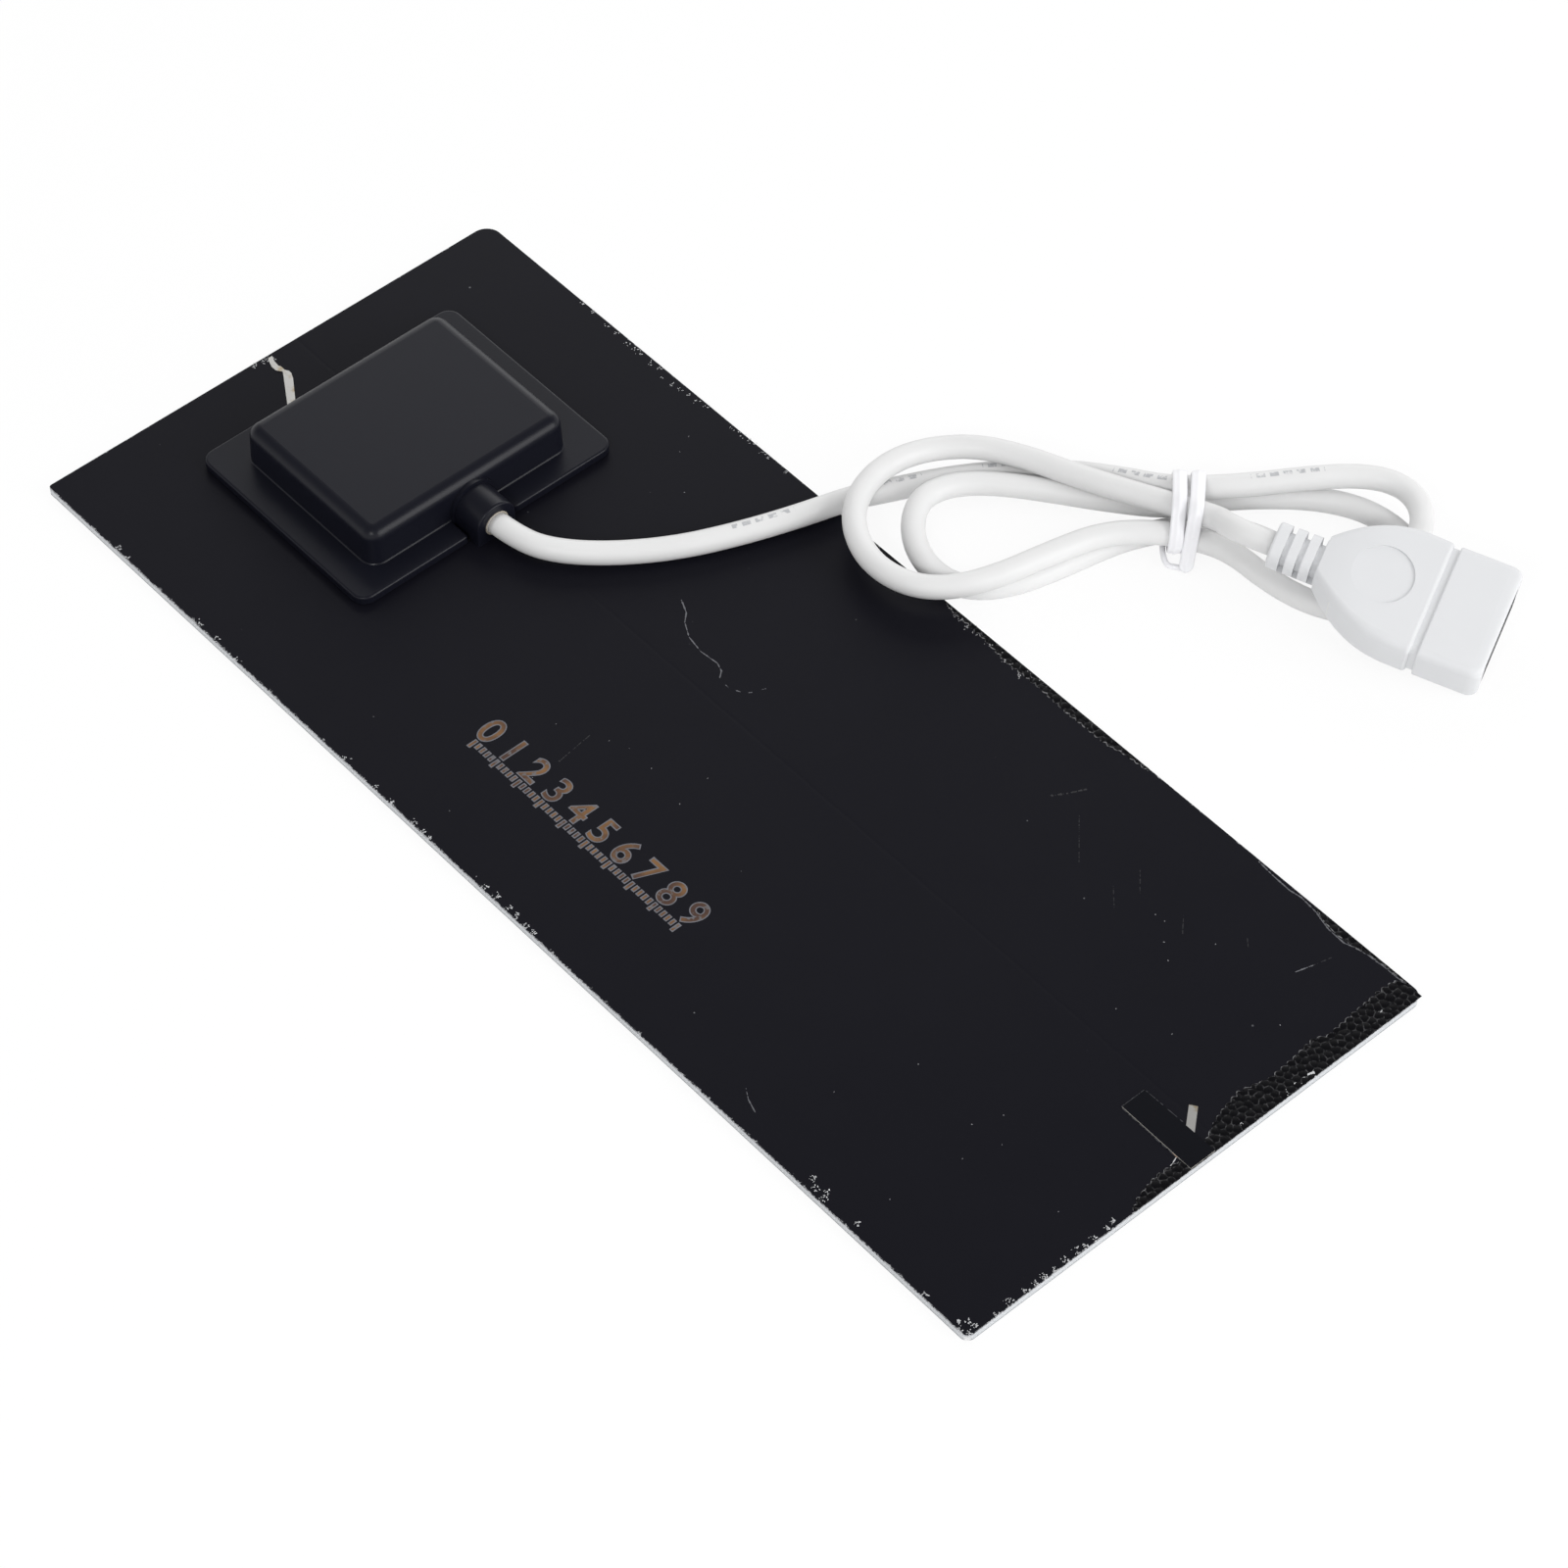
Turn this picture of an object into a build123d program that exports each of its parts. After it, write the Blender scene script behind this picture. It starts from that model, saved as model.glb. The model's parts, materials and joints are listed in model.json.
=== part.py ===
from build123d import *
import math
import os

# Flexible solar sheet: a thin laminate of solar cells, a low junction box
# bonded to its back, and a short white lead that is folded into a tied hank
# and ends in a USB-A socket. All sizes are in millimetres.
#
# Frame: the sheet lies on the surface with its cells down and its back up.
# X runs along the sheet from the box end, Y across it, Z up. The origin is
# the centre of the sheet at the height of the surface.

# ---------------------------------------------------------------- laminate
SHEET_LENGTH = 188.0
SHEET_WIDTH = 78.5
FRONT_FILM = 0.15
FRONT_ENCAPSULANT = 0.25
REAR_ENCAPSULANT = 0.40
SUPPORT_BOARD = 0.30
BACK_FILM = 0.10
CORNER_RADII = {(-1, -1): 0.6, (-1, 1): 2.5, (1, 1): 1.6, (1, -1): 1.2}

CELL_COLUMNS = 6
CELL_ROWS = 2
CELL_SIZE = (28.6, 34.6)
CELL_THICKNESS = 0.18
CELL_GAP_X = 1.6
CELL_GAP_Y = 1.8
FINGER_RIBBON_WIDTH = 1.5
RIBBON_THICKNESS = 0.10
RIBBON_OFFSET = 8.65            # each side of a cell's centre line
RIBBON_END_INSET = 2.2          # how far a ribbon stops short of a cell's far edge
BUS_WIDTH = 1.8
BUS_X = 91.6                    # centre of the end bus ribbons
BUS_Y = 31.0                    # how far they reach each side of the middle
BUS_MIDDLE_GAP = (-0.65, 0.1)   # the two buses stop either side of this gap
LINK_STEP = 0.2                 # the far link's tabs reach this far into it
LEAD_HALF_WIDTH = 0.75
PAD_FOLD_LENGTH = 2.6           # how far a lead ribbon lies on the board's pad
PAD_FOLD_GAP = 0.55             # between the board's edge and the ribbon beside it
POSITIVE_PAD_Y = -5.6
NEGATIVE_PAD_Y = 5.0
# The positive lead comes up through the sheet's end, twists, and runs under the flange.
LEAD_HOLE = ((-93.45, -1.35), (-93.35, -0.65))
LEAD_TWIST = [
    (-93.45, -1.35), (-92.8, -1.65), (-91.8, -2.0), (-90.85, -2.0), (-89.95, -1.4),
    (-90.1, -1.0), (-90.9, -0.96), (-91.35, -1.15), (-92.4, -1.03), (-93.45, -0.65),
]
LEAD_RUN = [(-89.95, -1.4), (-84.3, -4.95), (-83.4, -6.35)]
LEAD_RUN_BACK = [
    (-83.2, -4.85), (-83.0, -4.4), (-87.95, -1.14), (-88.9, -0.68), (-89.5, -0.66), (-90.1, -1.0),
]
# The loose ribbon end at the far end, the hole it comes through, and the strip over it.
END_TAB = [
    (86.66, 4.99), (88.96, 2.2), (91.0, 0.2), (92.3, 0.2), (92.3, 1.3), (91.5, 1.3), (90.16, 2.6),
    (87.63, 5.63),
]
END_TAB_HOLE = ((92.2, 0.2), (92.3, 1.3))
COVER_STRIP = [(81.4, -1.5), (93.9, -1.7), (93.9, 2.5), (81.4, 2.4)]
COVER_STRIP_THICKNESS = 0.16

# ------------------------------------------------------------ junction box
BOX_CENTRE = (-65.2, 1.4)
PAD_THICKNESS = 0.30
FLANGE_SIZE = (36.4, 44.7)
FLANGE_THICKNESS = 1.20
FLANGE_CORNER = 2.1
FLANGE_EDGE = 0.35
BLOCK_SIZE = (28.8, 35.0)
BLOCK_TOP = 8.6                 # above the surface
BLOCK_CORNER = 2.4
BLOCK_TAPER = 2.5
BLOCK_EDGE = 1.8
FOOT_LINE = 0.15                # small chamfer round the block's foot
CAVITY_SIZE = (25.6, 31.8)
CAVITY_ROOF = 7.0
CAVITY_CORNER = 1.4
CAVITY_TAPER = 1.5
ROOT_OVERLAP = 1.5              # how far the gland's root runs into the block
BORE_LENGTH = 14.0

GLAND_Y = 1.5
GLAND_Z = 3.75
GLAND_RADIUS = 3.3
GLAND_END = -45.5
GLAND_EDGE = 0.35
COLLAR_RADIUS = 3.8
COLLAR_END = -50.45
NOTCH_HALF = 3.83               # the flange is cut away this far each side of the gland
NOTCH_CORNERS = (0.5, 1.2)      # its outer corners, near side and far side
SEALANT_RADIUS = 1.95
SEALANT_DEPTH = 0.5

PCB_SIZE = (21.5, 29.0)
PCB_CENTRE = (-66.25, 1.4)
PCB_TAPE = 1.10
PCB_TAPE_SIZE = (18.0, 24.0)
PCB_THICKNESS = 1.00
# Components by name: (place on the board from its centre, size).
BOARD_COMPONENTS = {
    "regulator_chip": ((-1.0, -5.5), (5.0, 4.0, 1.5)),
    "schottky_diode": ((-6.0, 9.5), (4.3, 2.6, 2.2)),
    "input_capacitor": ((-7.0, -11.0), (3.2, 2.5, 2.0)),
    "output_capacitor": ((5.5, 11.0), (3.2, 2.5, 2.0)),
}
INDUCTOR = ((1.0, 4.0), (6.0, 6.0, 3.0))
INDUCTOR_CORNER = 1.0
RESISTOR_SIZE = (2.0, 1.25, 0.5)
RESISTOR_X = 5.0
RESISTOR_ROWS = (-12.6, -10.4, -8.2)
WIRE_PAD_ROWS = {"red_wire_box_end": 4.2, "black_wire_box_end": -4.2}
WIRE_BEND = 0.8
WIRE_LIFT = 0.05                # between a wire and what it lies on
WIRE_LEAVES = (1.0, -0.5)       # straight run, from outside the block to inside the jacket's end
WIRE_SPREADS = 2.2              # past the jacket's end, where the two wires part
WIRE_SPREAD_SHARE = 0.8
WIRE_PAD_INSET = 2.4
WIRE_STOP = 0.4
JOINT_SHIFT = -0.9
JACKET_INTO_BOX = 4.6
WIRE_JOINT_RADIUS = 1.1
RIBBON_JOINT_RADIUS = 1.0
LEAD_CHANNEL = ((-84.5, -6.6), (-77.0, -3.6))   # left in the adhesive for the positive lead
LEAD_SLACK = 0.02
PAD_INSET = 0.2                 # the adhesive stops short of the flange's edge
WIRE_RADIUS = 0.55
WIRE_SPACING = 1.2
JACKET_WALL = 0.5

# -------------------------------------------------------------------- lead
CORD_DIAMETER = 3.4
CORD_RADIUS = CORD_DIAMETER / 2
GLAND_EXIT = (GLAND_END, GLAND_Y, GLAND_Z)
# Route of the lead from the gland over the sheet's long edge, chosen by hand.
LEAD_ROUTE = [
    GLAND_EXIT, (-40.5, 1.75, 3.6), (-35.9, 4.3, 3.2), (-31.0, 9.8, 2.98),
    (-26.2, 17.2, 2.98), (-22.6, 25.2, 2.98), (-19.6, 33.6, 2.98), (-17.4, 41.4, 2.98),
]

# The hank has its own frame: x along it away from the sheet, t across it,
# z up, with the tie at its origin.
HANK_ORIGIN = (16.0, 73.1)
HANK_HEADING = 48.5
BIGHT_STEPS = 16
# Where the strands pass through the tie, as (t, z). The top one crosses it at a slant,
# so it has two places.
TIE_SLOTS = [(3.0, 5.9), (-1.2, 6.8), (-2.6, 7.1), (3.35, 2.55), (-4.3, 3.85), (-1.1, 2.4)]
LEFT_BIGHT = dict(start=(-8.0, 1.7), end=(-12.0, -4.8), reach=-35.7, width=13.6,
                  skew=0.2, shear=-0.4, lean=2.3)
RIGHT_OUTER_BIGHT = dict(start=(3.0, 3.0), end=(4.0, -0.6), reach=27.8, width=7.6,
                         skew=-5.8, shear=3.2, lean=0.0)
RIGHT_INNER_BIGHT = dict(start=(4.0, 4.2), end=(4.0, -4.7), reach=25.4, width=6.1,
                         skew=-13.9, shear=5.7, lean=1.1)
LEFT_TOP = 7.6
RIGHT_TOP = 6.6
BUNDLE_ENDS = (-13.0, 5.5)
TIE_CLEARANCE = 0.1
HANK_REACH = 12.0               # taller and wider than the bundle at the tie
TAIL_START = [(3.7, -4.0, 7.4), (4.74, -7.02, 9.3)]
NECK_RUN = 4.0                  # last straight run of the cord into the neck
SHEET_CLEARANCE = 0.1
CONNECTOR_CLEARANCE = 0.15

TIE_BANDS = (-1.5, 0.8)         # centres of the two turns, along the hank
TIE_BAND_WIDTH = 1.7
TIE_THICKNESS = 0.65
TIE_END = ((-1.3, -7.6, 0.35), (0.4, -3.2, 0.35 + TIE_THICKNESS))
TIE_LOOP = [(-2.1, -5.0, 1.8), (-3.2, -5.9, 0.9), (-2.6, -6.9, 0.7), (-0.8, -6.9, 0.7)]
TIE_LOOP_RADIUS = 0.35
TIE_LOOP_BENDS = [0.6, 0.6]

# --------------------------------------------------------------- connector
CONNECTOR_FRONT = (60.33, 87.84, 5.32)
CONNECTOR_YAW = 26.2
CONNECTOR_PITCH = 7.2           # nose down
CONNECTOR_ROLL = 14.6           # far side up
BODY_WIDTH = 17.8
BODY_HEIGHT = 7.2
BODY_EDGE = 1.3
HEAD_LENGTH = 9.0
HEAD_BACK_EDGE = 0.3
# Sections of the rounded front: (distance from front, width, height).
HEAD_SECTIONS = [(0.0, 16.1, 6.5), (0.35, 16.9, 6.95), (0.9, 17.5, 7.14), (1.7, 17.8, 7.2)]
GROOVE_WIDTH = 0.9
GROOVE_DEPTH = 0.45
GROOVE_OVERLAP = 0.5
BODY_BACK_EDGE = 0.6
# Sections of the body behind the groove: (distance from front, width, height).
BODY_SECTIONS = [
    (9.9, 17.9, 7.2), (14.0, 17.9, 7.2), (17.6, 16.7, 7.15),
    (20.8, 14.0, 6.9), (23.4, 10.6, 6.3), (25.6, 6.8, 5.5),
]
THUMB_RADIUS = 4.3
THUMB_PLACE = (-17.2, 0.4)
THUMB_DEPTH = 0.25
RELIEF_START = 25.6
RELIEF_END = 32.6
RELIEF_SIZE = (6.3, 5.1)
RELIEF_CORNER = 2.0
RELIEF_BACK_EDGE = 0.4
RELIEF_CORE = (4.5, 4.1)
RELIEF_CORE_CORNER = 1.8
RELIEF_WEB_TOP = -1.2           # below this height the relief isn't slotted
RELIEF_OFFSET = 0.4             # the neck sits a little to the far side
RELIEF_SLOTS = (25.75, 27.9, 30.05)
RELIEF_SLOT_WIDTH = 0.8
JACKET_INNER_END = 23.6         # where the cord's jacket ends inside the connector

SHELL_WALL = 0.30
SOCKET_OPENING = (12.5, 5.12)
SHELL_LENGTH = 14.0
SHELL_CORNER = 0.6
TONGUE_WIDTH = 11.1
TONGUE_THICKNESS = 1.84
TONGUE_SMALL_GAP = 0.72
TONGUE_FRONT = 1.2
TONGUE_EDGE = 0.3
INSULATOR_START = 9.6
INSULATOR_FIT = 0.04            # smaller than the shell's opening, all told
INSULATOR_CORNER = 0.3
CONTACT_PITCH = (3.5, 1.0, -1.0, -3.5)
CONTACT_WIDTH = 1.0
CONTACT_THICKNESS = 0.25
CONTACT_SLOT = (1.3, 1.0)       # width and depth of the groove over each contact
CONTACT_SLOT_INSET = 0.5
CONTACT_HINGE = 8.9
CONTACT_ROOT_GAP = 0.05
CONTACT_CREST = (3.8, 0.55)     # distance from front, height proud of the tongue
CONTACT_CREST_HALF = 0.35       # half the flat of the crest
CONTACT_TIP = (2.4, -0.15)
CONTACT_TAIL_LENGTH = 2.0       # past the start of the inner mould
GRIP_HINGE = 9.2
GRIP_LENGTH = 5.6
GRIP_WIDTH = 2.0
GRIP_SLOT_WIDTH = 2.4
GRIP_Y = 3.4
GRIP_TILT = 4.0
GRIP_PLAY = 0.03                # on each face of a leaf
GRIP_WINDOW_LENGTH = 6.3
GRIP_WINDOW_SHIFT = 0.15
INNER_MOULD_SIZE = (11.4, 4.6)
INNER_MOULD_START = 15.6
INNER_MOULD_END = 22.5
INNER_MOULD_CORNER = 0.5
SOCKET_WIRE_RUN = (0.2, 2.2)    # its straight stretch on the tail, past the mould's start
SOCKET_WIRE_MEETS = 0.3
SOCKET_WIRE_IN_JACKET = 3.0
SOCKET_WIRE_BEND = 1.0
SPARE = 1.0                     # how far a cutter runs past what it cuts
SMALL_GAP = 0.1                 # clearance between inner pieces
BEND_SHARE = 0.45               # an arc takes this much of the shorter run beside it

# ----------------------------------------------------------- derived levels
Z_FRONT_ENCAPSULANT = FRONT_FILM
Z_CELL = Z_FRONT_ENCAPSULANT + FRONT_ENCAPSULANT
Z_BOARD = Z_CELL + REAR_ENCAPSULANT
Z_BACK_FILM = Z_BOARD + SUPPORT_BOARD
SHEET_TOP = Z_BACK_FILM + BACK_FILM
Z_FLANGE = SHEET_TOP + PAD_THICKNESS
Z_PCB = SHEET_TOP + PCB_TAPE
PCB_TOP = Z_PCB + PCB_THICKNESS
BLOCK_RIGHT = BOX_CENTRE[0] + BLOCK_SIZE[0] / 2
FLANGE_RIGHT = BOX_CENTRE[0] + FLANGE_SIZE[0] / 2
CELL_PITCH = (CELL_SIZE[0] + CELL_GAP_X, CELL_SIZE[1] + CELL_GAP_Y)
Z_RIBBON_FRONT = (Z_CELL - RIBBON_THICKNESS, Z_CELL)
Z_RIBBON_REAR = (Z_CELL + CELL_THICKNESS, Z_CELL + CELL_THICKNESS + RIBBON_THICKNESS)
BOARD_END_X = PCB_CENTRE[0] - PCB_SIZE[0] / 2    # the board's edge nearest the sheet's end
LEAD_RISER_X = BOARD_END_X - PAD_FOLD_GAP
JACKET_BOX_END = BLOCK_RIGHT - JACKET_INTO_BOX
WIRE_PAD_X = PCB_CENTRE[0] + PCB_SIZE[0] / 2 - WIRE_PAD_INSET
WIRE_Z = PCB_TOP + WIRE_RADIUS + WIRE_LIFT
SHELL_OUTER = (SOCKET_OPENING[0] + 2 * SHELL_WALL, SOCKET_OPENING[1] + 2 * SHELL_WALL)
TONGUE_TOP = SOCKET_OPENING[1] / 2 - TONGUE_SMALL_GAP
TONGUE_BOTTOM = TONGUE_TOP - TONGUE_THICKNESS
HANK_PLACE = Pos(HANK_ORIGIN[0], HANK_ORIGIN[1], 0) * Rot(0, 0, HANK_HEADING)
CONNECTOR_PLACE = (Pos(*CONNECTOR_FRONT) * Rot(0, 0, CONNECTOR_YAW)
                   * Rot(0, CONNECTOR_PITCH, 0) * Rot(CONNECTOR_ROLL, 0, 0))


def box_between(low, high):
    """Return a box given its lowest and highest corners."""
    size = [high[i] - low[i] for i in range(3)]
    middle = [(high[i] + low[i]) / 2 for i in range(3)]
    return Pos(*middle) * Box(*size)


def prism(points, low, high):
    """Return a straight prism on a closed outline in the XY plane."""
    face = make_face(Polyline(*points, close=True))
    return extrude(Pos(0, 0, low) * face, amount=high - low)


def rounded_slab(centre, size, corner, low, high, taper=0.0):
    """Return an upright slab with rounded corners, drawn in towards its top."""
    sketch = Pos(centre[0], centre[1], low) * RectangleRounded(size[0], size[1], corner)
    return extrude(sketch, amount=high - low, taper=taper)


def in_one(shapes):
    """Return separate solids as one compound."""
    return Compound(children=[Part() + shape for shape in shapes])


def clear(body, *cutters):
    """Return a body with every cutter taken away."""
    for cutter in cutters:
        body = body - cutter
    return body


# ---------------------------------------------------------------- laminate
def sheet_layer(low, thickness):
    """Return one full-size layer of the sheet, with its uneven corners."""
    slab = box_between((-SHEET_LENGTH / 2, -SHEET_WIDTH / 2, low),
                       (SHEET_LENGTH / 2, SHEET_WIDTH / 2, low + thickness))
    for (x_sign, y_sign), radius in CORNER_RADII.items():
        edge = slab.edges().filter_by(Axis.Z).sort_by_distance(
            (x_sign * SHEET_LENGTH / 2, y_sign * SHEET_WIDTH / 2, low))[0]
        slab = fillet(edge, radius)
    return slab


def cell_centre(column, row):
    """Return the centre of a cell, counted from the box end and low Y."""
    x = (column - (CELL_COLUMNS - 1) / 2) * CELL_PITCH[0]
    y = (row - (CELL_ROWS - 1) / 2) * CELL_PITCH[1]
    return x, y


def make_cells():
    """Return the twelve cells as separate thin plates."""
    cells = []
    for row in range(CELL_ROWS):
        for column in range(CELL_COLUMNS):
            x, y = cell_centre(column, row)
            plate = Pos(x, y, Z_CELL + CELL_THICKNESS / 2) * Box(*CELL_SIZE, CELL_THICKNESS)
            cells.append(plate)
    return cells


def ribbon_rows(y_centre):
    """Return the two ribbon lines of a row of cells, as (low y, high y)."""
    half = FINGER_RIBBON_WIDTH / 2
    return [(y_centre + side * RIBBON_OFFSET - half, y_centre + side * RIBBON_OFFSET + half)
            for side in (-1, 1)]


def make_interconnects():
    """Return the ribbons that join each cell's front to the next one's back."""
    ribbons = []
    for row in range(CELL_ROWS):
        along = 1 if row == 0 else -1
        for link in range(CELL_COLUMNS - 1):
            column = link if along > 0 else CELL_COLUMNS - 1 - link
            x0, y0 = cell_centre(column, row)
            half = CELL_SIZE[0] / 2
            start = x0 - along * (half - RIBBON_END_INSET)
            riser = x0 + along * (half + CELL_GAP_X / 2)
            finish = x0 + along * (CELL_PITCH[0] + half - RIBBON_END_INSET)
            thick = along * RIBBON_THICKNESS / 2
            for low_y, high_y in ribbon_rows(y0):
                front = box_between(
                    (min(start, riser + thick), low_y, Z_RIBBON_FRONT[0]),
                    (max(start, riser + thick), high_y, Z_RIBBON_FRONT[1]))
                step = box_between(
                    (riser - abs(thick), low_y, Z_RIBBON_FRONT[0]),
                    (riser + abs(thick), high_y, Z_RIBBON_REAR[1]))
                rear = box_between(
                    (min(finish, riser - thick), low_y, Z_RIBBON_REAR[0]),
                    (max(finish, riser - thick), high_y, Z_RIBBON_REAR[1]))
                ribbons.append(front + step + rear)
    return ribbons


def make_positive_bus():
    """Return the bus under the box end's first cell, tabs on that cell's back."""
    x_cell, y_cell = cell_centre(0, 0)
    low, high = Z_RIBBON_REAR
    inner = x_cell + CELL_SIZE[0] / 2 - RIBBON_END_INSET
    bus = box_between((-BUS_X - BUS_WIDTH / 2, -BUS_Y, low),
                      (-BUS_X + BUS_WIDTH / 2, BUS_MIDDLE_GAP[0], high))
    for low_y, high_y in ribbon_rows(y_cell):
        bus = bus + box_between((-BUS_X, low_y, low), (inner, high_y, high))
    return bus + box_between((*LEAD_HOLE[0], low), (-BUS_X, LEAD_HOLE[1][1], high))


def make_negative_bus():
    """Return the bus of the last cell, with tabs on that cell's front."""
    x_cell, y_cell = cell_centre(0, 1)
    low, high = Z_RIBBON_FRONT
    inner = x_cell + CELL_SIZE[0] / 2 - RIBBON_END_INSET
    bus = box_between((-BUS_X - BUS_WIDTH / 2, BUS_MIDDLE_GAP[1], low),
                      (-BUS_X + BUS_WIDTH / 2, BUS_Y, high))
    for low_y, high_y in ribbon_rows(y_cell):
        bus = bus + box_between((-BUS_X, low_y, low), (inner, high_y, high))
    return bus


def make_string_link():
    """Return the end ribbon that joins the two rows of cells at the far end."""
    low, high = Z_RIBBON_FRONT
    link = box_between((BUS_X - BUS_WIDTH / 2, -BUS_Y, low), (BUS_X + BUS_WIDTH / 2, BUS_Y, high))
    step_x = BUS_X - BUS_WIDTH / 2
    for row in range(CELL_ROWS):
        x_cell, y_cell = cell_centre(CELL_COLUMNS - 1, row)
        inner = x_cell - CELL_SIZE[0] / 2 + RIBBON_END_INSET
        for low_y, high_y in ribbon_rows(y_cell):
            if row == 0:
                link = link + box_between((inner, low_y, low), (BUS_X, high_y, high))
            else:
                step = box_between((step_x - RIBBON_THICKNESS, low_y, low),
                                   (step_x + LINK_STEP, high_y, Z_RIBBON_REAR[1]))
                rear = box_between((inner, low_y, Z_RIBBON_REAR[0]),
                                   (step_x, high_y, Z_RIBBON_REAR[1]))
                link = link + step + rear
    return link


def pad_fold(y_centre, bottom):
    """Return the stretch of ribbon that climbs the board's edge onto its pad."""
    half = FINGER_RIBBON_WIDTH / 2
    top = PCB_TOP + RIBBON_THICKNESS
    riser = box_between((LEAD_RISER_X, y_centre - half, bottom),
                        (LEAD_RISER_X + RIBBON_THICKNESS, y_centre + half, top))
    fold = box_between((LEAD_RISER_X, y_centre - half, PCB_TOP),
                       (BOARD_END_X + PAD_FOLD_LENGTH, y_centre + half, top))
    return riser + fold


def make_positive_lead():
    """Return the ribbon folded over the sheet's end and led under the flange."""
    low, high = SHEET_TOP, SHEET_TOP + RIBBON_THICKNESS
    twist = prism(LEAD_TWIST, low, high)
    side, far_side = POSITIVE_PAD_Y - LEAD_HALF_WIDTH, POSITIVE_PAD_Y + LEAD_HALF_WIDTH
    under_flange = [(LEAD_RISER_X, side), (LEAD_RISER_X, far_side)]
    run = prism(LEAD_RUN + under_flange + LEAD_RUN_BACK, low, high)
    riser = box_between((*LEAD_HOLE[0], Z_RIBBON_REAR[1]), (*LEAD_HOLE[1], high))
    return twist + run + riser + pad_fold(POSITIVE_PAD_Y, low)


def make_negative_lead():
    """Return the ribbon led between the rows of cells and up inside the box."""
    low, high = Z_RIBBON_REAR
    half = LEAD_HALF_WIDTH
    start = -BUS_X - BUS_WIDTH / 2
    strip_end = -BUS_X + BUS_WIDTH / 2
    near = BUS_MIDDLE_GAP[1]
    first = box_between((start, near, Z_RIBBON_FRONT[1]), (start + RIBBON_THICKNESS, half, high))
    along = box_between((start, near, low), (strip_end, half, high))
    middle = box_between((strip_end, -half, low), (LEAD_RISER_X + RIBBON_THICKNESS, half, high))
    riser = box_between((LEAD_RISER_X, -half, low),
                        (LEAD_RISER_X + RIBBON_THICKNESS, half, SHEET_TOP + RIBBON_THICKNESS))
    across_box = box_between(
        (LEAD_RISER_X, -half, SHEET_TOP),
        (LEAD_RISER_X + RIBBON_THICKNESS, NEGATIVE_PAD_Y + half, SHEET_TOP + FINGER_RIBBON_WIDTH))
    return first + along + middle + riser + across_box + pad_fold(NEGATIVE_PAD_Y, SHEET_TOP)


def make_end_tab():
    """Return the loose ribbon end that comes through the back at the far end."""
    high = SHEET_TOP + RIBBON_THICKNESS
    run = prism(END_TAB, SHEET_TOP, high)
    riser = box_between((*END_TAB_HOLE[0], Z_RIBBON_FRONT[1]), (*END_TAB_HOLE[1], high))
    return run + riser


def make_cover_tape():
    """Return the strip of black film over the far end's ribbon."""
    return prism(COVER_STRIP, SHEET_TOP, SHEET_TOP + COVER_STRIP_THICKNESS)


# ------------------------------------------------------------ junction box
def gland_profile(radius, foot):
    """Return the gland's arch, drawn in the YZ plane: round top, straight legs."""
    disc = Pos(GLAND_Y, GLAND_Z) * Circle(radius)
    lower_half = Pos(GLAND_Y, GLAND_Z - radius) * Rectangle(4 * radius, 2 * radius)
    legs = Pos(GLAND_Y, (GLAND_Z + foot) / 2) * Rectangle(2 * radius, GLAND_Z - foot)
    return Plane.YZ * (disc - lower_half + legs)


def make_flange():
    """Return the cover's flange, cut away each side of the gland."""
    low, high = Z_FLANGE, Z_FLANGE + FLANGE_THICKNESS
    flange = rounded_slab(BOX_CENTRE, FLANGE_SIZE, FLANGE_CORNER, low, high)
    flange = flange - box_between((BLOCK_RIGHT, GLAND_Y - NOTCH_HALF, low - SPARE),
                                  (FLANGE_RIGHT + SPARE, GLAND_Y + NOTCH_HALF, high + SPARE))
    for side, radius in zip((-1, 1), NOTCH_CORNERS):
        corner = flange.edges().filter_by(Axis.Z).sort_by_distance(
            (FLANGE_RIGHT, GLAND_Y + side * NOTCH_HALF, low))[0]
        flange = fillet(corner, radius)
    return fillet(flange.faces().sort_by(Axis.Z)[-1].edges(), FLANGE_EDGE)


def in_gland(x):
    """Return the place on the gland's axis at x, for a piece that stands along Z."""
    return Pos(x, GLAND_Y, GLAND_Z) * Rot(0, 90, 0)


def make_box_cover():
    """Return the moulded cover: flange, hollow block and cord gland."""
    flange = make_flange()
    block = rounded_slab(BOX_CENTRE, BLOCK_SIZE, BLOCK_CORNER, Z_FLANGE, BLOCK_TOP, BLOCK_TAPER)
    block = fillet(block.faces().sort_by(Axis.Z)[-1].edges(), BLOCK_EDGE)
    flange_top = Z_FLANGE + FLANGE_THICKNESS
    skirt = rounded_slab(BOX_CENTRE, (BLOCK_SIZE[0] + 2 * FOOT_LINE, BLOCK_SIZE[1] + 2 * FOOT_LINE),
                         BLOCK_CORNER + FOOT_LINE, flange_top, flange_top + FOOT_LINE, 45)
    root_x = BLOCK_RIGHT - ROOT_OVERLAP
    barrel = extrude(Pos(root_x, 0, 0) * gland_profile(GLAND_RADIUS, SHEET_TOP),
                     amount=GLAND_END - root_x)
    barrel = fillet(barrel.faces().sort_by(Axis.X)[-1].edges().filter_by(GeomType.CIRCLE), GLAND_EDGE)
    collar = extrude(Pos(root_x, 0, 0) * gland_profile(COLLAR_RADIUS, Z_FLANGE),
                     amount=COLLAR_END - root_x)
    shell = flange + block + skirt + barrel + collar
    cavity = rounded_slab(BOX_CENTRE, CAVITY_SIZE, CAVITY_CORNER, SHEET_TOP, CAVITY_ROOF,
                          CAVITY_TAPER)
    bore = in_gland(BLOCK_RIGHT) * Cylinder(CORD_RADIUS, BORE_LENGTH)
    mouth = in_gland(GLAND_END - SEALANT_DEPTH / 2) * Cylinder(SEALANT_RADIUS, SEALANT_DEPTH)
    return clear(shell, cavity, bore, mouth)


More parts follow.
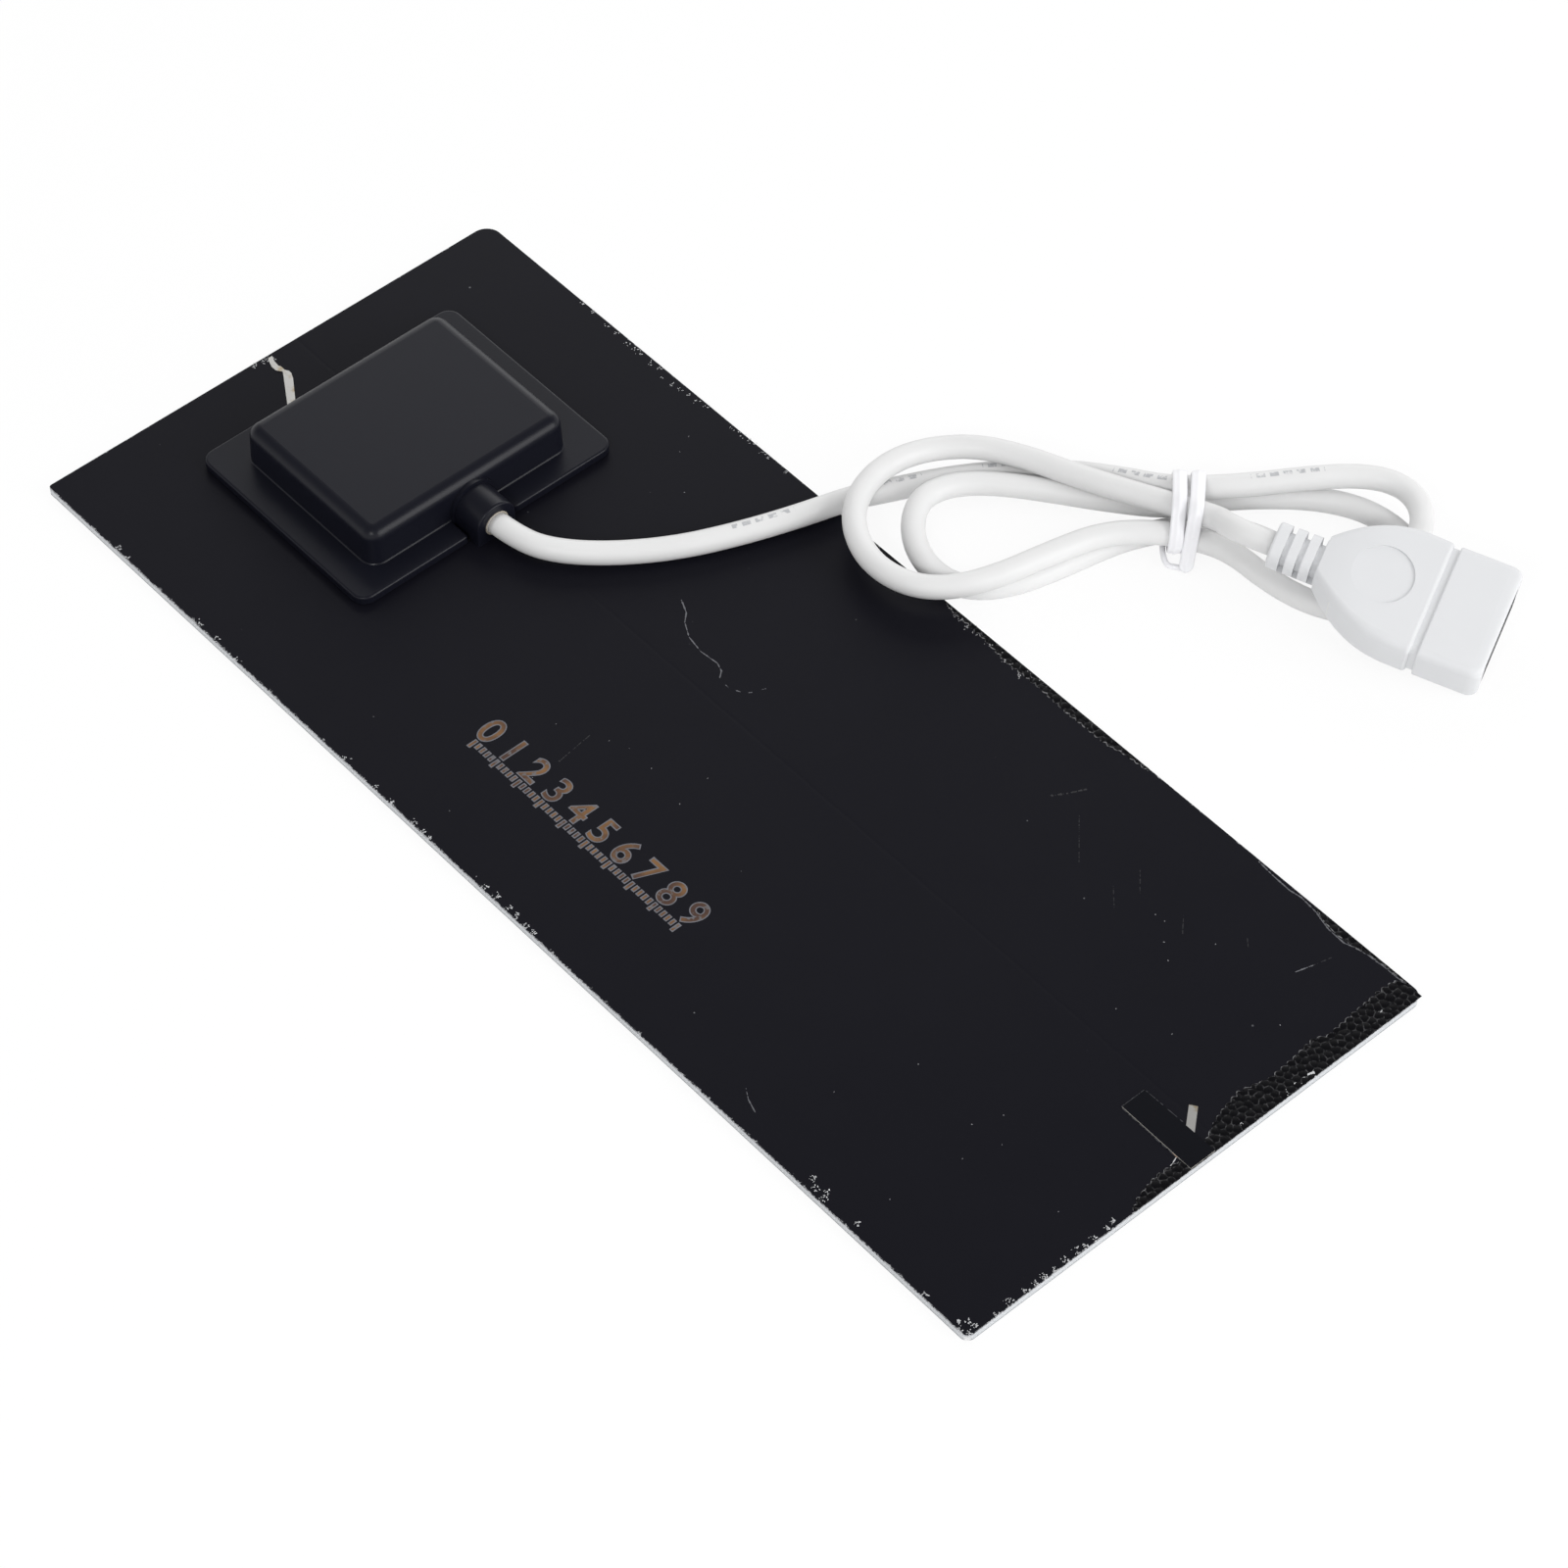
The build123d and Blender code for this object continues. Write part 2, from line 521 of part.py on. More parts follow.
def make_box_adhesive(lead):
    """Return the bead of adhesive under the flange, open under the cavity."""
    pad_size = [side - 2 * PAD_INSET for side in FLANGE_SIZE]
    pad = rounded_slab(BOX_CENTRE, pad_size, FLANGE_CORNER, SHEET_TOP, Z_FLANGE)
    window = rounded_slab(BOX_CENTRE, CAVITY_SIZE, CAVITY_CORNER, SHEET_TOP - SPARE, Z_FLANGE + SPARE)
    foot = box_between((BLOCK_RIGHT - ROOT_OVERLAP - SMALL_GAP, GLAND_Y - GLAND_RADIUS, SHEET_TOP),
                       (GLAND_END, GLAND_Y + GLAND_RADIUS, Z_FLANGE))
    channel = box_between((*LEAD_CHANNEL[0], SHEET_TOP),
                          (*LEAD_CHANNEL[1], SHEET_TOP + RIBBON_THICKNESS + LEAD_SLACK))
    return clear(pad, window, foot, channel, lead)


def on_board(place, size):
    """Return a component of a given size standing on the circuit board."""
    return Pos(PCB_CENTRE[0] + place[0], PCB_CENTRE[1] + place[1], PCB_TOP + size[2] / 2) * Box(*size)


def centred_slab(centre, size, low, high):
    """Return an upright block about a centre, between two heights."""
    return box_between((centre[0] - size[0] / 2, centre[1] - size[1] / 2, low),
                       (centre[0] + size[0] / 2, centre[1] + size[1] / 2, high))


def wire_route(y_pad):
    """Return a wire's route from inside the jacket to its pad on the board."""
    side = 1 if y_pad > 0 else -1
    start = (BLOCK_RIGHT + WIRE_LEAVES[0], GLAND_Y + side * WIRE_SPACING / 2, WIRE_Z)
    leave = (JACKET_BOX_END + WIRE_LEAVES[1], start[1], WIRE_Z)
    spread = (JACKET_BOX_END - WIRE_SPREADS, BOX_CENTRE[1] + y_pad * WIRE_SPREAD_SHARE, WIRE_Z)
    return [start, leave, spread, (WIRE_PAD_X - WIRE_STOP, BOX_CENTRE[1] + y_pad, WIRE_Z)]


def tube_along(points, radius, bends):
    """Return a round tube along straight runs joined by tangent arcs."""
    path = FilletPolyline(*points, radius=bends)
    start = Plane(origin=path @ 0, z_dir=path % 0)
    return sweep(start * Circle(radius), path=path)


def largest_bends(points):
    """Return the arc radius at each corner: as large as its two runs allow."""
    radii = []
    for before, corner, after in zip(points, points[1:], points[2:]):
        run_in = Vector(*corner) - Vector(*before)
        run_out = Vector(*after) - Vector(*corner)
        turn = math.radians(run_in.get_angle(run_out))
        radii.append(BEND_SHARE * min(run_in.length, run_out.length) / math.tan(turn / 2))
    return radii


def solder_domes(places, radius):
    """Return solder joints as low domes on the circuit board."""
    domes = []
    for x, y in places:
        ball = Pos(x, y, PCB_TOP) * Sphere(radius)
        domes.append(clear(ball, Pos(x, y, PCB_TOP - radius) * Box(4 * radius, 4 * radius, 2 * radius)))
    return domes


# -------------------------------------------------------------- cord, hank
def hank_point(x, t, z):
    """Return a place in the sheet's frame from the hank's own x, t and z."""
    turn = math.radians(HANK_HEADING)
    return (HANK_ORIGIN[0] + x * math.cos(turn) - t * math.sin(turn),
            HANK_ORIGIN[1] + x * math.sin(turn) + t * math.cos(turn), z)


def bight(start, end, reach, width, skew, shear, lean):
    """Return one open loop of the hank, as points (x, t) round its centre line."""
    points = []
    for step in range(BIGHT_STEPS + 1):
        part = step / BIGHT_STEPS
        angle = 2 * math.pi * part
        bulge = math.sin(angle / 2)
        side = math.copysign(1, reach)
        x = start[0] + (end[0] - start[0]) * part + reach * bulge + side * shear * math.sin(angle)
        t = (start[1] + (end[1] - start[1]) * part + skew * bulge ** 2
             + width * math.sin(angle) * math.sqrt(abs(bulge)) + lean * math.sin(2 * angle))
        points.append((x, t))
    return points


def loop_slab(shape, top):
    """Return the flat outer shape of one open loop, standing on the surface."""
    face = make_face(Polyline(*bight(**shape), close=True))
    outer = offset(face, amount=CORD_RADIUS, kind=Kind.ARC)
    return extrude(outer, amount=top)


def bundle_hull(growth=0.0):
    """Return the outline round the five strands at the tie, in the YZ plane."""
    rings = [Pos(t, z) * Circle(CORD_RADIUS + growth) for t, z in TIE_SLOTS]
    edges = [edge for ring in rings for edge in ring.edges()]
    return Plane.YZ * make_hull(edges)


def make_hank(neighbours):
    """Return the closed outer shape of the tied hank, clear of what it touches."""
    length = BUNDLE_ENDS[1] - BUNDLE_ENDS[0]
    bundle = extrude(Pos(BUNDLE_ENDS[0], 0, 0) * bundle_hull(), amount=length)
    loops = loop_slab(LEFT_BIGHT, LEFT_TOP)
    for shape in (RIGHT_OUTER_BIGHT, RIGHT_INNER_BIGHT):
        loops = loops + loop_slab(shape, RIGHT_TOP)
    half_band = TIE_BAND_WIDTH / 2 + TIE_CLEARANCE
    gap = box_between((TIE_BANDS[0] - half_band, -HANK_REACH, -SPARE),
                      (TIE_BANDS[1] + half_band, HANK_REACH, HANK_REACH))
    hank = HANK_PLACE * ((loops - gap) + bundle)
    sheet = box_between((-SHEET_LENGTH / 2, -SHEET_WIDTH / 2, -SPARE),
                        (SHEET_LENGTH / 2, SHEET_WIDTH / 2 + SHEET_CLEARANCE,
                         SHEET_TOP + SHEET_CLEARANCE))
    return clear(hank, sheet, *neighbours)


def make_tie():
    """Return the tie: two turns round the hank, its flat end and a loop of its wire."""
    outer = bundle_hull(TIE_THICKNESS)
    ring = extrude(Pos(-TIE_BAND_WIDTH / 2, 0, 0) * outer, amount=TIE_BAND_WIDTH)
    ring = ring - extrude(Pos(-TIE_BAND_WIDTH, 0, 0) * bundle_hull(), amount=2 * TIE_BAND_WIDTH)
    first, second = (Pos(x, 0, 0) * ring for x in TIE_BANDS)
    flat_end = box_between(*TIE_END)
    loop = tube_along(TIE_LOOP, TIE_LOOP_RADIUS, TIE_LOOP_BENDS)
    inside = extrude(Pos(BUNDLE_ENDS[0], 0, 0) * bundle_hull(),
                     amount=BUNDLE_ENDS[1] - BUNDLE_ENDS[0])
    return HANK_PLACE * clear(first + second + flat_end + loop, inside)


# --------------------------------------------------------------- connector
def across(distance, width, height, corner, offset_y=0.0):
    """Return a rounded section across the connector, at a distance from its front."""
    section = Pos(offset_y, 0) * RectangleRounded(width, height, corner)
    return Pos(-distance, 0, 0) * (Plane.YZ * section)


def connector_block(start, end, width, height, corner, offset_y=0.0):
    """Return a straight stretch of the connector between two distances."""
    return extrude(across(end, width, height, corner, offset_y), amount=end - start)


def connector_outer():
    """Return the connector's outer shape, solid all through."""
    head = connector_block(HEAD_SECTIONS[-1][0], HEAD_LENGTH, BODY_WIDTH, BODY_HEIGHT, BODY_EDGE)
    head = fillet(head.faces().sort_by(Axis.X)[0].edges(), HEAD_BACK_EDGE)
    head = head + loft([across(*section, BODY_EDGE) for section in HEAD_SECTIONS])
    groove_end = HEAD_LENGTH + GROOVE_WIDTH
    groove = connector_block(HEAD_LENGTH - GROOVE_OVERLAP, groove_end + GROOVE_OVERLAP,
                             BODY_WIDTH - 2 * GROOVE_DEPTH, BODY_HEIGHT - 2 * GROOVE_DEPTH,
                             BODY_EDGE - GROOVE_DEPTH / 2)
    drift = RELIEF_OFFSET / (RELIEF_START - groove_end)
    sections = [across(place, width, height, BODY_EDGE, drift * (place - groove_end))
                for place, width, height in BODY_SECTIONS]
    body = loft(sections)
    body = fillet(body.faces().sort_by(Axis.X)[-1].edges(), BODY_BACK_EDGE)
    relief = connector_block(RELIEF_START - GROOVE_OVERLAP, RELIEF_END, *RELIEF_SIZE, RELIEF_CORNER,
                             RELIEF_OFFSET)
    relief = fillet(relief.faces().sort_by(Axis.X)[0].edges(), RELIEF_BACK_EDGE)
    return head + groove + body + relief


def relief_slots():
    """Return the slots that let the strain relief bend, closed below by a web."""
    slots = []
    for place in RELIEF_SLOTS:
        end = place + RELIEF_SLOT_WIDTH
        ring = connector_block(place, end, RELIEF_SIZE[0] + 2 * SPARE, RELIEF_SIZE[1] + 2 * SPARE,
                               INNER_MOULD_CORNER, RELIEF_OFFSET)
        core = connector_block(place - SPARE, end + SPARE, *RELIEF_CORE, RELIEF_CORE_CORNER,
                               RELIEF_OFFSET)
        web = box_between((-end - SPARE, -BODY_WIDTH / 2, -BODY_HEIGHT),
                          (-place + SPARE, BODY_WIDTH / 2, RELIEF_WEB_TOP))
        slots.append(clear(ring, core, web))
    return slots


def along_connector(start, end, radius, y=0.0, z=0.0):
    """Return a round bar along the connector between two distances."""
    middle = -(start + end) / 2
    return Pos(middle, y, z) * Rot(0, 90, 0) * Cylinder(radius, end - start)


def make_overmould(outer):
    """Return the white outer moulding, hollow for what it was moulded over."""
    thumb = Pos(*THUMB_PLACE, BODY_HEIGHT / 2) * Cylinder(THUMB_RADIUS, 2 * THUMB_DEPTH)
    shell = connector_block(-SPARE, SHELL_LENGTH, *SHELL_OUTER, SHELL_CORNER)
    solder_room = connector_block(SHELL_LENGTH - SMALL_GAP, INNER_MOULD_END, *INNER_MOULD_SIZE,
                                  INNER_MOULD_CORNER)
    bore = along_connector(INNER_MOULD_END - SPARE, RELIEF_END + SPARE, CORD_RADIUS, RELIEF_OFFSET)
    return clear(outer, *relief_slots(), thumb, shell, solder_room, bore)


def make_inner_mould(fillings):
    """Return the block moulded round the soldered tails and wires."""
    block = connector_block(SHELL_LENGTH, INNER_MOULD_END, *INNER_MOULD_SIZE, INNER_MOULD_CORNER)
    return clear(block, *fillings)


def grip_window(sign, y):
    """Return the window in the shell that a grip spring stands in."""
    z = sign * (SOCKET_OPENING[1] + SHELL_WALL) / 2
    return Pos(-GRIP_HINGE + GRIP_LENGTH / 2 + GRIP_WINDOW_SHIFT, y, z) * Box(
        GRIP_WINDOW_LENGTH, GRIP_SLOT_WIDTH, 2 * SHELL_WALL)


def make_socket_shell():
    """Return the folded metal shell of the socket, with four spring windows."""
    outer = connector_block(0.0, SHELL_LENGTH, *SHELL_OUTER, SHELL_CORNER)
    inner = connector_block(-SPARE, SHELL_LENGTH + SPARE, *SOCKET_OPENING, SHELL_CORNER - SHELL_WALL)
    windows = [grip_window(sign, y) for sign in (-1, 1) for y in (-GRIP_Y, GRIP_Y)]
    return clear(outer, inner, *windows)


def make_grip_springs(sign):
    """Return the two leaf springs on one side of the shell, bent inwards."""
    springs = []
    plate_z = sign * (SOCKET_OPENING[1] + SHELL_WALL) / 2
    for y in (-GRIP_Y, GRIP_Y):
        leaf = box_between((SMALL_GAP, -GRIP_WIDTH / 2, GRIP_PLAY - SHELL_WALL / 2),
                           (GRIP_LENGTH, GRIP_WIDTH / 2, SHELL_WALL / 2 - GRIP_PLAY))
        springs.append(Pos(-GRIP_HINGE, y, plate_z) * Rot(0, sign * GRIP_TILT, 0) * leaf)
    return springs


def make_insulator():
    """Return the socket's plastic tongue and the block that holds it."""
    tongue = box_between((-INSULATOR_START - SPARE, -TONGUE_WIDTH / 2, TONGUE_BOTTOM),
                         (-TONGUE_FRONT, TONGUE_WIDTH / 2, TONGUE_TOP))
    tongue = fillet(tongue.faces().sort_by(Axis.X)[-1].edges().filter_by(Axis.Y), TONGUE_EDGE)
    block = connector_block(INSULATOR_START, SHELL_LENGTH, SOCKET_OPENING[0] - INSULATOR_FIT,
                            SOCKET_OPENING[1] - INSULATOR_FIT, INSULATOR_CORNER)
    holder = tongue + block
    for y in CONTACT_PITCH:
        groove = box_between((-INSULATOR_START, y - CONTACT_SLOT[0] / 2, TONGUE_BOTTOM - SPARE),
                             (-TONGUE_FRONT - CONTACT_SLOT_INSET, y + CONTACT_SLOT[0] / 2,
                              TONGUE_BOTTOM + CONTACT_SLOT[1]))
        passage = box_between((-SHELL_LENGTH - SPARE, y - CONTACT_WIDTH / 2, TONGUE_BOTTOM),
                              (SMALL_GAP - INSULATOR_START, y + CONTACT_WIDTH / 2,
                               TONGUE_BOTTOM + CONTACT_THICKNESS))
        holder = clear(holder, groove, passage)
    return holder


def make_contact_spring(y):
    """Return one contact's sprung front, bowed out of the tongue."""
    thick = CONTACT_THICKNESS
    crest_x, crest_z = -CONTACT_CREST[0], TONGUE_BOTTOM - CONTACT_CREST[1]
    tip_x, tip_z = -CONTACT_TIP[0], TONGUE_BOTTOM - CONTACT_TIP[1]
    root_x = CONTACT_ROOT_GAP - CONTACT_HINGE
    outer, inner = CONTACT_CREST_HALF, CONTACT_CREST_HALF - thick / 2
    outline = [(root_x, TONGUE_BOTTOM), (crest_x - outer, crest_z), (crest_x + outer, crest_z),
               (tip_x, tip_z), (tip_x, tip_z + thick), (crest_x + inner, crest_z + thick),
               (crest_x - inner, crest_z + thick), (root_x, TONGUE_BOTTOM + thick)]
    face = make_face(Polyline(*outline, close=True))
    leaf = extrude(Plane.XZ * face, amount=CONTACT_WIDTH / 2, both=True)
    return Pos(0, y, 0) * leaf


def make_contact_tail(y):
    """Return one contact's fixed rear, from the tongue's root to its solder tail."""
    tail_end = -INNER_MOULD_START - CONTACT_TAIL_LENGTH
    return box_between((tail_end, y - CONTACT_WIDTH / 2, TONGUE_BOTTOM),
                       (-CONTACT_HINGE, y + CONTACT_WIDTH / 2, TONGUE_BOTTOM + CONTACT_THICKNESS))


def socket_wire(y_tail, side):
    """Return one wire from its solder tail back into the cord."""
    z = TONGUE_BOTTOM + CONTACT_THICKNESS + WIRE_RADIUS + WIRE_LIFT
    y_cord = RELIEF_OFFSET + side * WIRE_SPACING / 2
    first, last = (-INNER_MOULD_START - run for run in SOCKET_WIRE_RUN)
    points = [(first, y_tail, z), (last, y_tail, z), (SOCKET_WIRE_MEETS - INNER_MOULD_END, y_cord, 0),
              (-JACKET_INNER_END - SOCKET_WIRE_IN_JACKET, y_cord, 0)]
    return tube_along(points, WIRE_RADIUS, [SOCKET_WIRE_BEND, SOCKET_WIRE_BEND])


def jacket_tube(length):
    """Return a hollow stretch of the lead's jacket, standing on the origin."""
    return Cylinder(CORD_RADIUS, length) - Cylinder(CORD_RADIUS - JACKET_WALL, length + SPARE)


# ---------------------------------------------------------------- assembly
def build_laminate():
    """Return the pieces of the sheet by node name."""
    cells, interconnects = make_cells(), make_interconnects()
    ribbons = {"positive_bus_ribbon": make_positive_bus(), "negative_bus_ribbon": make_negative_bus(),
               "string_link_ribbon": make_string_link(), "positive_lead_ribbon": make_positive_lead(),
               "negative_lead_ribbon": make_negative_lead(), "end_ribbon_tab": make_end_tab()}
    through_back = [ribbons[name] for name in ("positive_lead_ribbon", "negative_lead_ribbon",
                                               "end_ribbon_tab")]
    in_front = interconnects + [ribbons["negative_bus_ribbon"], ribbons["string_link_ribbon"]]
    film = sheet_layer(Z_FRONT_ENCAPSULANT, FRONT_ENCAPSULANT)
    return {
        "front_film": sheet_layer(0, FRONT_FILM),
        "front_encapsulant": clear(film, *in_front),
        "rear_encapsulant": clear(sheet_layer(Z_CELL, REAR_ENCAPSULANT), *cells, *interconnects,
                                  *ribbons.values()),
        "support_board": clear(sheet_layer(Z_BOARD, SUPPORT_BOARD), *through_back),
        "back_film": clear(sheet_layer(Z_BACK_FILM, BACK_FILM), *through_back),
        "solar_cells": in_one(cells),
        "cell_interconnects": in_one(interconnects),
        "ribbon_cover_tape": clear(make_cover_tape(), ribbons["end_ribbon_tab"]),
        **ribbons,
    }


def build_box(lead_ribbons):
    """Return the pieces of the junction box by node name, clear of the ribbons led into it."""
    parts = {name: on_board(*component) for name, component in BOARD_COMPONENTS.items()}
    parts["junction_box_cover"] = make_box_cover()
    parts["box_adhesive"] = make_box_adhesive(lead_ribbons[0])
    parts["board_foam_tape"] = centred_slab(PCB_CENTRE, PCB_TAPE_SIZE, SHEET_TOP, Z_PCB)
    parts["circuit_board"] = centred_slab(PCB_CENTRE, PCB_SIZE, Z_PCB, PCB_TOP)
    parts["power_inductor"] = fillet(on_board(*INDUCTOR).edges().filter_by(Axis.Z), INDUCTOR_CORNER)
    parts["feedback_resistors"] = in_one(
        [on_board((RESISTOR_X, y), RESISTOR_SIZE) for y in RESISTOR_ROWS])
    wires = {name: tube_along(wire_route(y_pad), WIRE_RADIUS, [WIRE_BEND, WIRE_BEND])
             for name, y_pad in WIRE_PAD_ROWS.items()}
    parts.update(wires)
    wire_joints = [(WIRE_PAD_X + JOINT_SHIFT, BOX_CENTRE[1] + y) for y in WIRE_PAD_ROWS.values()]
    ribbon_joints = [(BOARD_END_X + WIRE_PAD_INSET, y) for y in (POSITIVE_PAD_Y, NEGATIVE_PAD_Y)]
    domes = (solder_domes(wire_joints, WIRE_JOINT_RADIUS)
             + solder_domes(ribbon_joints, RIBBON_JOINT_RADIUS))
    parts["board_solder_joints"] = in_one(
        [clear(dome, *wires.values(), *lead_ribbons) for dome in domes])
    jacket = jacket_tube(GLAND_END - JACKET_BOX_END)
    parts["cord_jacket_box_end"] = in_gland((GLAND_END + JACKET_BOX_END) / 2) * jacket
    ring = Cylinder(SEALANT_RADIUS, SEALANT_DEPTH) - Cylinder(CORD_RADIUS, 2 * SEALANT_DEPTH)
    parts["gland_sealant"] = in_gland(GLAND_END - SEALANT_DEPTH / 2) * ring
    return parts


def build_socket(outer):
    """Return the pieces of the USB socket by node name, in their place."""
    tails = [make_contact_tail(y) for y in CONTACT_PITCH]
    wires = {"red_wire_socket_end": socket_wire(CONTACT_PITCH[0], 1),
             "black_wire_socket_end": socket_wire(CONTACT_PITCH[3], -1)}
    jacket = jacket_tube(RELIEF_END - JACKET_INNER_END)
    middle = -(JACKET_INNER_END + RELIEF_END) / 2
    socket = {"connector_overmould": make_overmould(outer),
              "inner_mould": make_inner_mould([*tails, *wires.values()]),
              "socket_shell": make_socket_shell(),
              "socket_insulator": make_insulator(),
              "upper_grip_springs": in_one(make_grip_springs(1)),
              "lower_grip_springs": in_one(make_grip_springs(-1)),
              "cord_jacket_socket_end": Pos(middle, RELIEF_OFFSET, 0) * Rot(0, 90, 0) * jacket,
              **wires}
    for number, (y, tail) in enumerate(zip(CONTACT_PITCH, tails), start=1):
        socket[f"contact_spring_{number}"] = make_contact_spring(y)
        socket[f"contact_tail_{number}"] = tail
    return {name: CONNECTOR_PLACE * shape for name, shape in socket.items()}


def build_cord(outer):
    """Return the cord's tubes, its hank and the tie by node name, and print what to check."""
    neck, before_neck = (CONNECTOR_PLACE * Pos(-RELIEF_END - back, RELIEF_OFFSET, 0)
                         for back in (0, NECK_RUN))
    tail_route = [hank_point(*place) for place in TAIL_START]
    tail_route += [tuple(before_neck.position), tuple(neck.position)]
    tubes = {}
    for name, route in (("cord_lead", LEAD_ROUTE), ("cord_tail", tail_route)):
        bends = largest_bends(route)
        tubes[name] = tube_along(route, CORD_RADIUS, bends)
        expected = math.pi * CORD_RADIUS ** 2 * FilletPolyline(*route, radius=bends).length
        print(name, "bends", [round(bend, 1) for bend in bends], "volume",
              round(tubes[name].volume, 1), "section times length", round(expected, 1))
    over_loops = CONNECTOR_PLACE * Pos(0, 0, -CONNECTOR_CLEARANCE) * outer
    hank = make_hank([over_loops, *tubes.values()])
    return {**tubes, "cord_hank": hank, "cable_tie": make_tie()}


def build_parts():
    """Return every piece of the object by its node name."""
    outer = connector_outer()
    laminate = build_laminate()
    lead_ribbons = [laminate["positive_lead_ribbon"], laminate["negative_lead_ribbon"]]
    parts = {**laminate, **build_box(lead_ribbons), **build_socket(outer), **build_cord(outer)}
    lowest = parts["connector_overmould"].bounding_box().min.Z
    print("connector's lowest point", round(lowest, 3))
    return parts


def main():
    """Build every piece and write it to its own file."""
    os.makedirs("parts", exist_ok=True)
    for name, shape in build_parts().items():
        export_step(shape, f"parts/{name}.step")


if __name__ == "__main__":
    main()
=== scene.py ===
import json
import logging
import math
from collections.abc import Sequence
from dataclasses import dataclass
from enum import Enum

import bmesh
import bpy
from mathutils import Matrix, Vector, geometry, noise


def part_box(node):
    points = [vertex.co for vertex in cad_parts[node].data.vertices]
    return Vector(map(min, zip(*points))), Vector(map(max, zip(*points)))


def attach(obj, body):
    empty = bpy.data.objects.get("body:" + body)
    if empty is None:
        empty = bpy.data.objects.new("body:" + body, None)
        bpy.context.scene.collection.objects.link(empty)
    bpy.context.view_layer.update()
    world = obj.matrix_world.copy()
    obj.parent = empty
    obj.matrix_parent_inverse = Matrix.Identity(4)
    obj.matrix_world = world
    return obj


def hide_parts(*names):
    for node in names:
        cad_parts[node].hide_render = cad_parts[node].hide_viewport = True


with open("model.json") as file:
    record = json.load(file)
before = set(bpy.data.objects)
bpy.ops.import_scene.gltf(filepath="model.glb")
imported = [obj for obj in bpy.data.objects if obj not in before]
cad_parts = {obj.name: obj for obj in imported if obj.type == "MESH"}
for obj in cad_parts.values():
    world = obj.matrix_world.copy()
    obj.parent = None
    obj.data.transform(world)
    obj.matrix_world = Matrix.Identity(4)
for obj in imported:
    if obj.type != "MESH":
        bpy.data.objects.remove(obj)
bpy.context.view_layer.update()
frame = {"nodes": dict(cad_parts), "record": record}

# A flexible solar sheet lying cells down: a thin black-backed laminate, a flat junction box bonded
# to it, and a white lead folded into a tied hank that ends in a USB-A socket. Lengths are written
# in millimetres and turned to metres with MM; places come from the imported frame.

MM = 0.001
TINY = 1e-9  # keeps a length that is divided by from being nothing
BODY = "sheet_and_cord"
LOG = logging.getLogger("solar_sheet")

# How many finer layers of noise a finish's mottling and its grain have.
MOTTLE_LAYERS, GRAIN_LAYERS = 5.0, 3.0

SHEET_LOW, SHEET_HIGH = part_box("back_film")
SHEET_TOP = SHEET_HIGH.z

Wire = bpy.types.Node | bpy.types.NodeSocket
Source = Wire | float | Sequence[float]


class Side(Enum):
    """The four cut edges of the sheet: (axis across the edge, sign of that axis)."""

    BOX_END = (0, -1)
    FAR_END = (0, 1)
    NEAR_SIDE = (1, -1)
    CORD_SIDE = (1, 1)


def linear(colour: str) -> tuple[float, float, float, float]:
    """Turn an sRGB hex colour into linear RGBA, by the standard curve.

    Args:
        colour: six hex digits after a hash.

    Returns:
        The linear red, green, blue and an alpha of 1.
    """
    parts = [int(colour[place:place + 2], 16) / 255 for place in (1, 3, 5)]
    red, green, blue = (part / 12.92 if part <= 0.04045 else ((part + 0.055) / 1.055) ** 2.4
                        for part in parts)
    return (red, green, blue, 1.0)


def across(size_mm: float) -> float:
    """Return the texture scale at which one feature of a pattern is this many millimetres."""
    return 1.0 / (size_mm * MM)


def add_node(tree: bpy.types.NodeTree, kind: str, inputs: dict[str | int, Source] | None = None,
             **settings: object) -> bpy.types.Node:
    """Add one node to a tree, with its settings, its values and its links.

    Args:
        tree: the tree that gets the node.
        kind: the node's type name.
        inputs: for each named or numbered input, a value, another node's output, or another node,
            whose first output in use is then linked.
        settings: the node's own properties.

    Returns:
        The new node.
    """
    made = tree.nodes.new(kind)
    for name, value in settings.items():
        setattr(made, name, value)
    for name, value in (inputs or {}).items():
        if isinstance(value, bpy.types.Node):
            value = next(output for output in value.outputs if output.enabled)
        if isinstance(value, bpy.types.NodeSocket):
            tree.links.new(value, made.inputs[name])
        else:
            made.inputs[name].default_value = value
    return made


# ------------------------------------------------------------------ finishes
@dataclass(frozen=True)
class Surface:
    """A material in the making: its tree, its shader, and the object's coordinates in metres."""

    tree: bpy.types.NodeTree
    shader: bpy.types.Node
    coords: bpy.types.NodeSocket


@dataclass(frozen=True)
class Patches:
    """Soft-edged patches of noise.

    detail is how many finer layers their outline has. A patch begins where the noise reaches low,
    and is full where it reaches high, where its value is level.
    """

    size_mm: float
    detail: float
    low: float
    high: float
    level: float = 1.0

    def lay(self, made: Surface) -> bpy.types.Node:
        """Lay the patches over a surface.

        Args:
            made: the surface.

        Returns:
            The node that gives the level in a patch, and 0 outside.
        """
        noisy = add_node(made.tree, "ShaderNodeTexNoise", {
            "Vector": made.coords, "Scale": across(self.size_mm), "Detail": self.detail})
        return add_node(made.tree, "ShaderNodeMapRange", {
            "Value": noisy, "From Min": self.low, "From Max": self.high, "To Max": self.level},
            interpolation_type="SMOOTHSTEP")


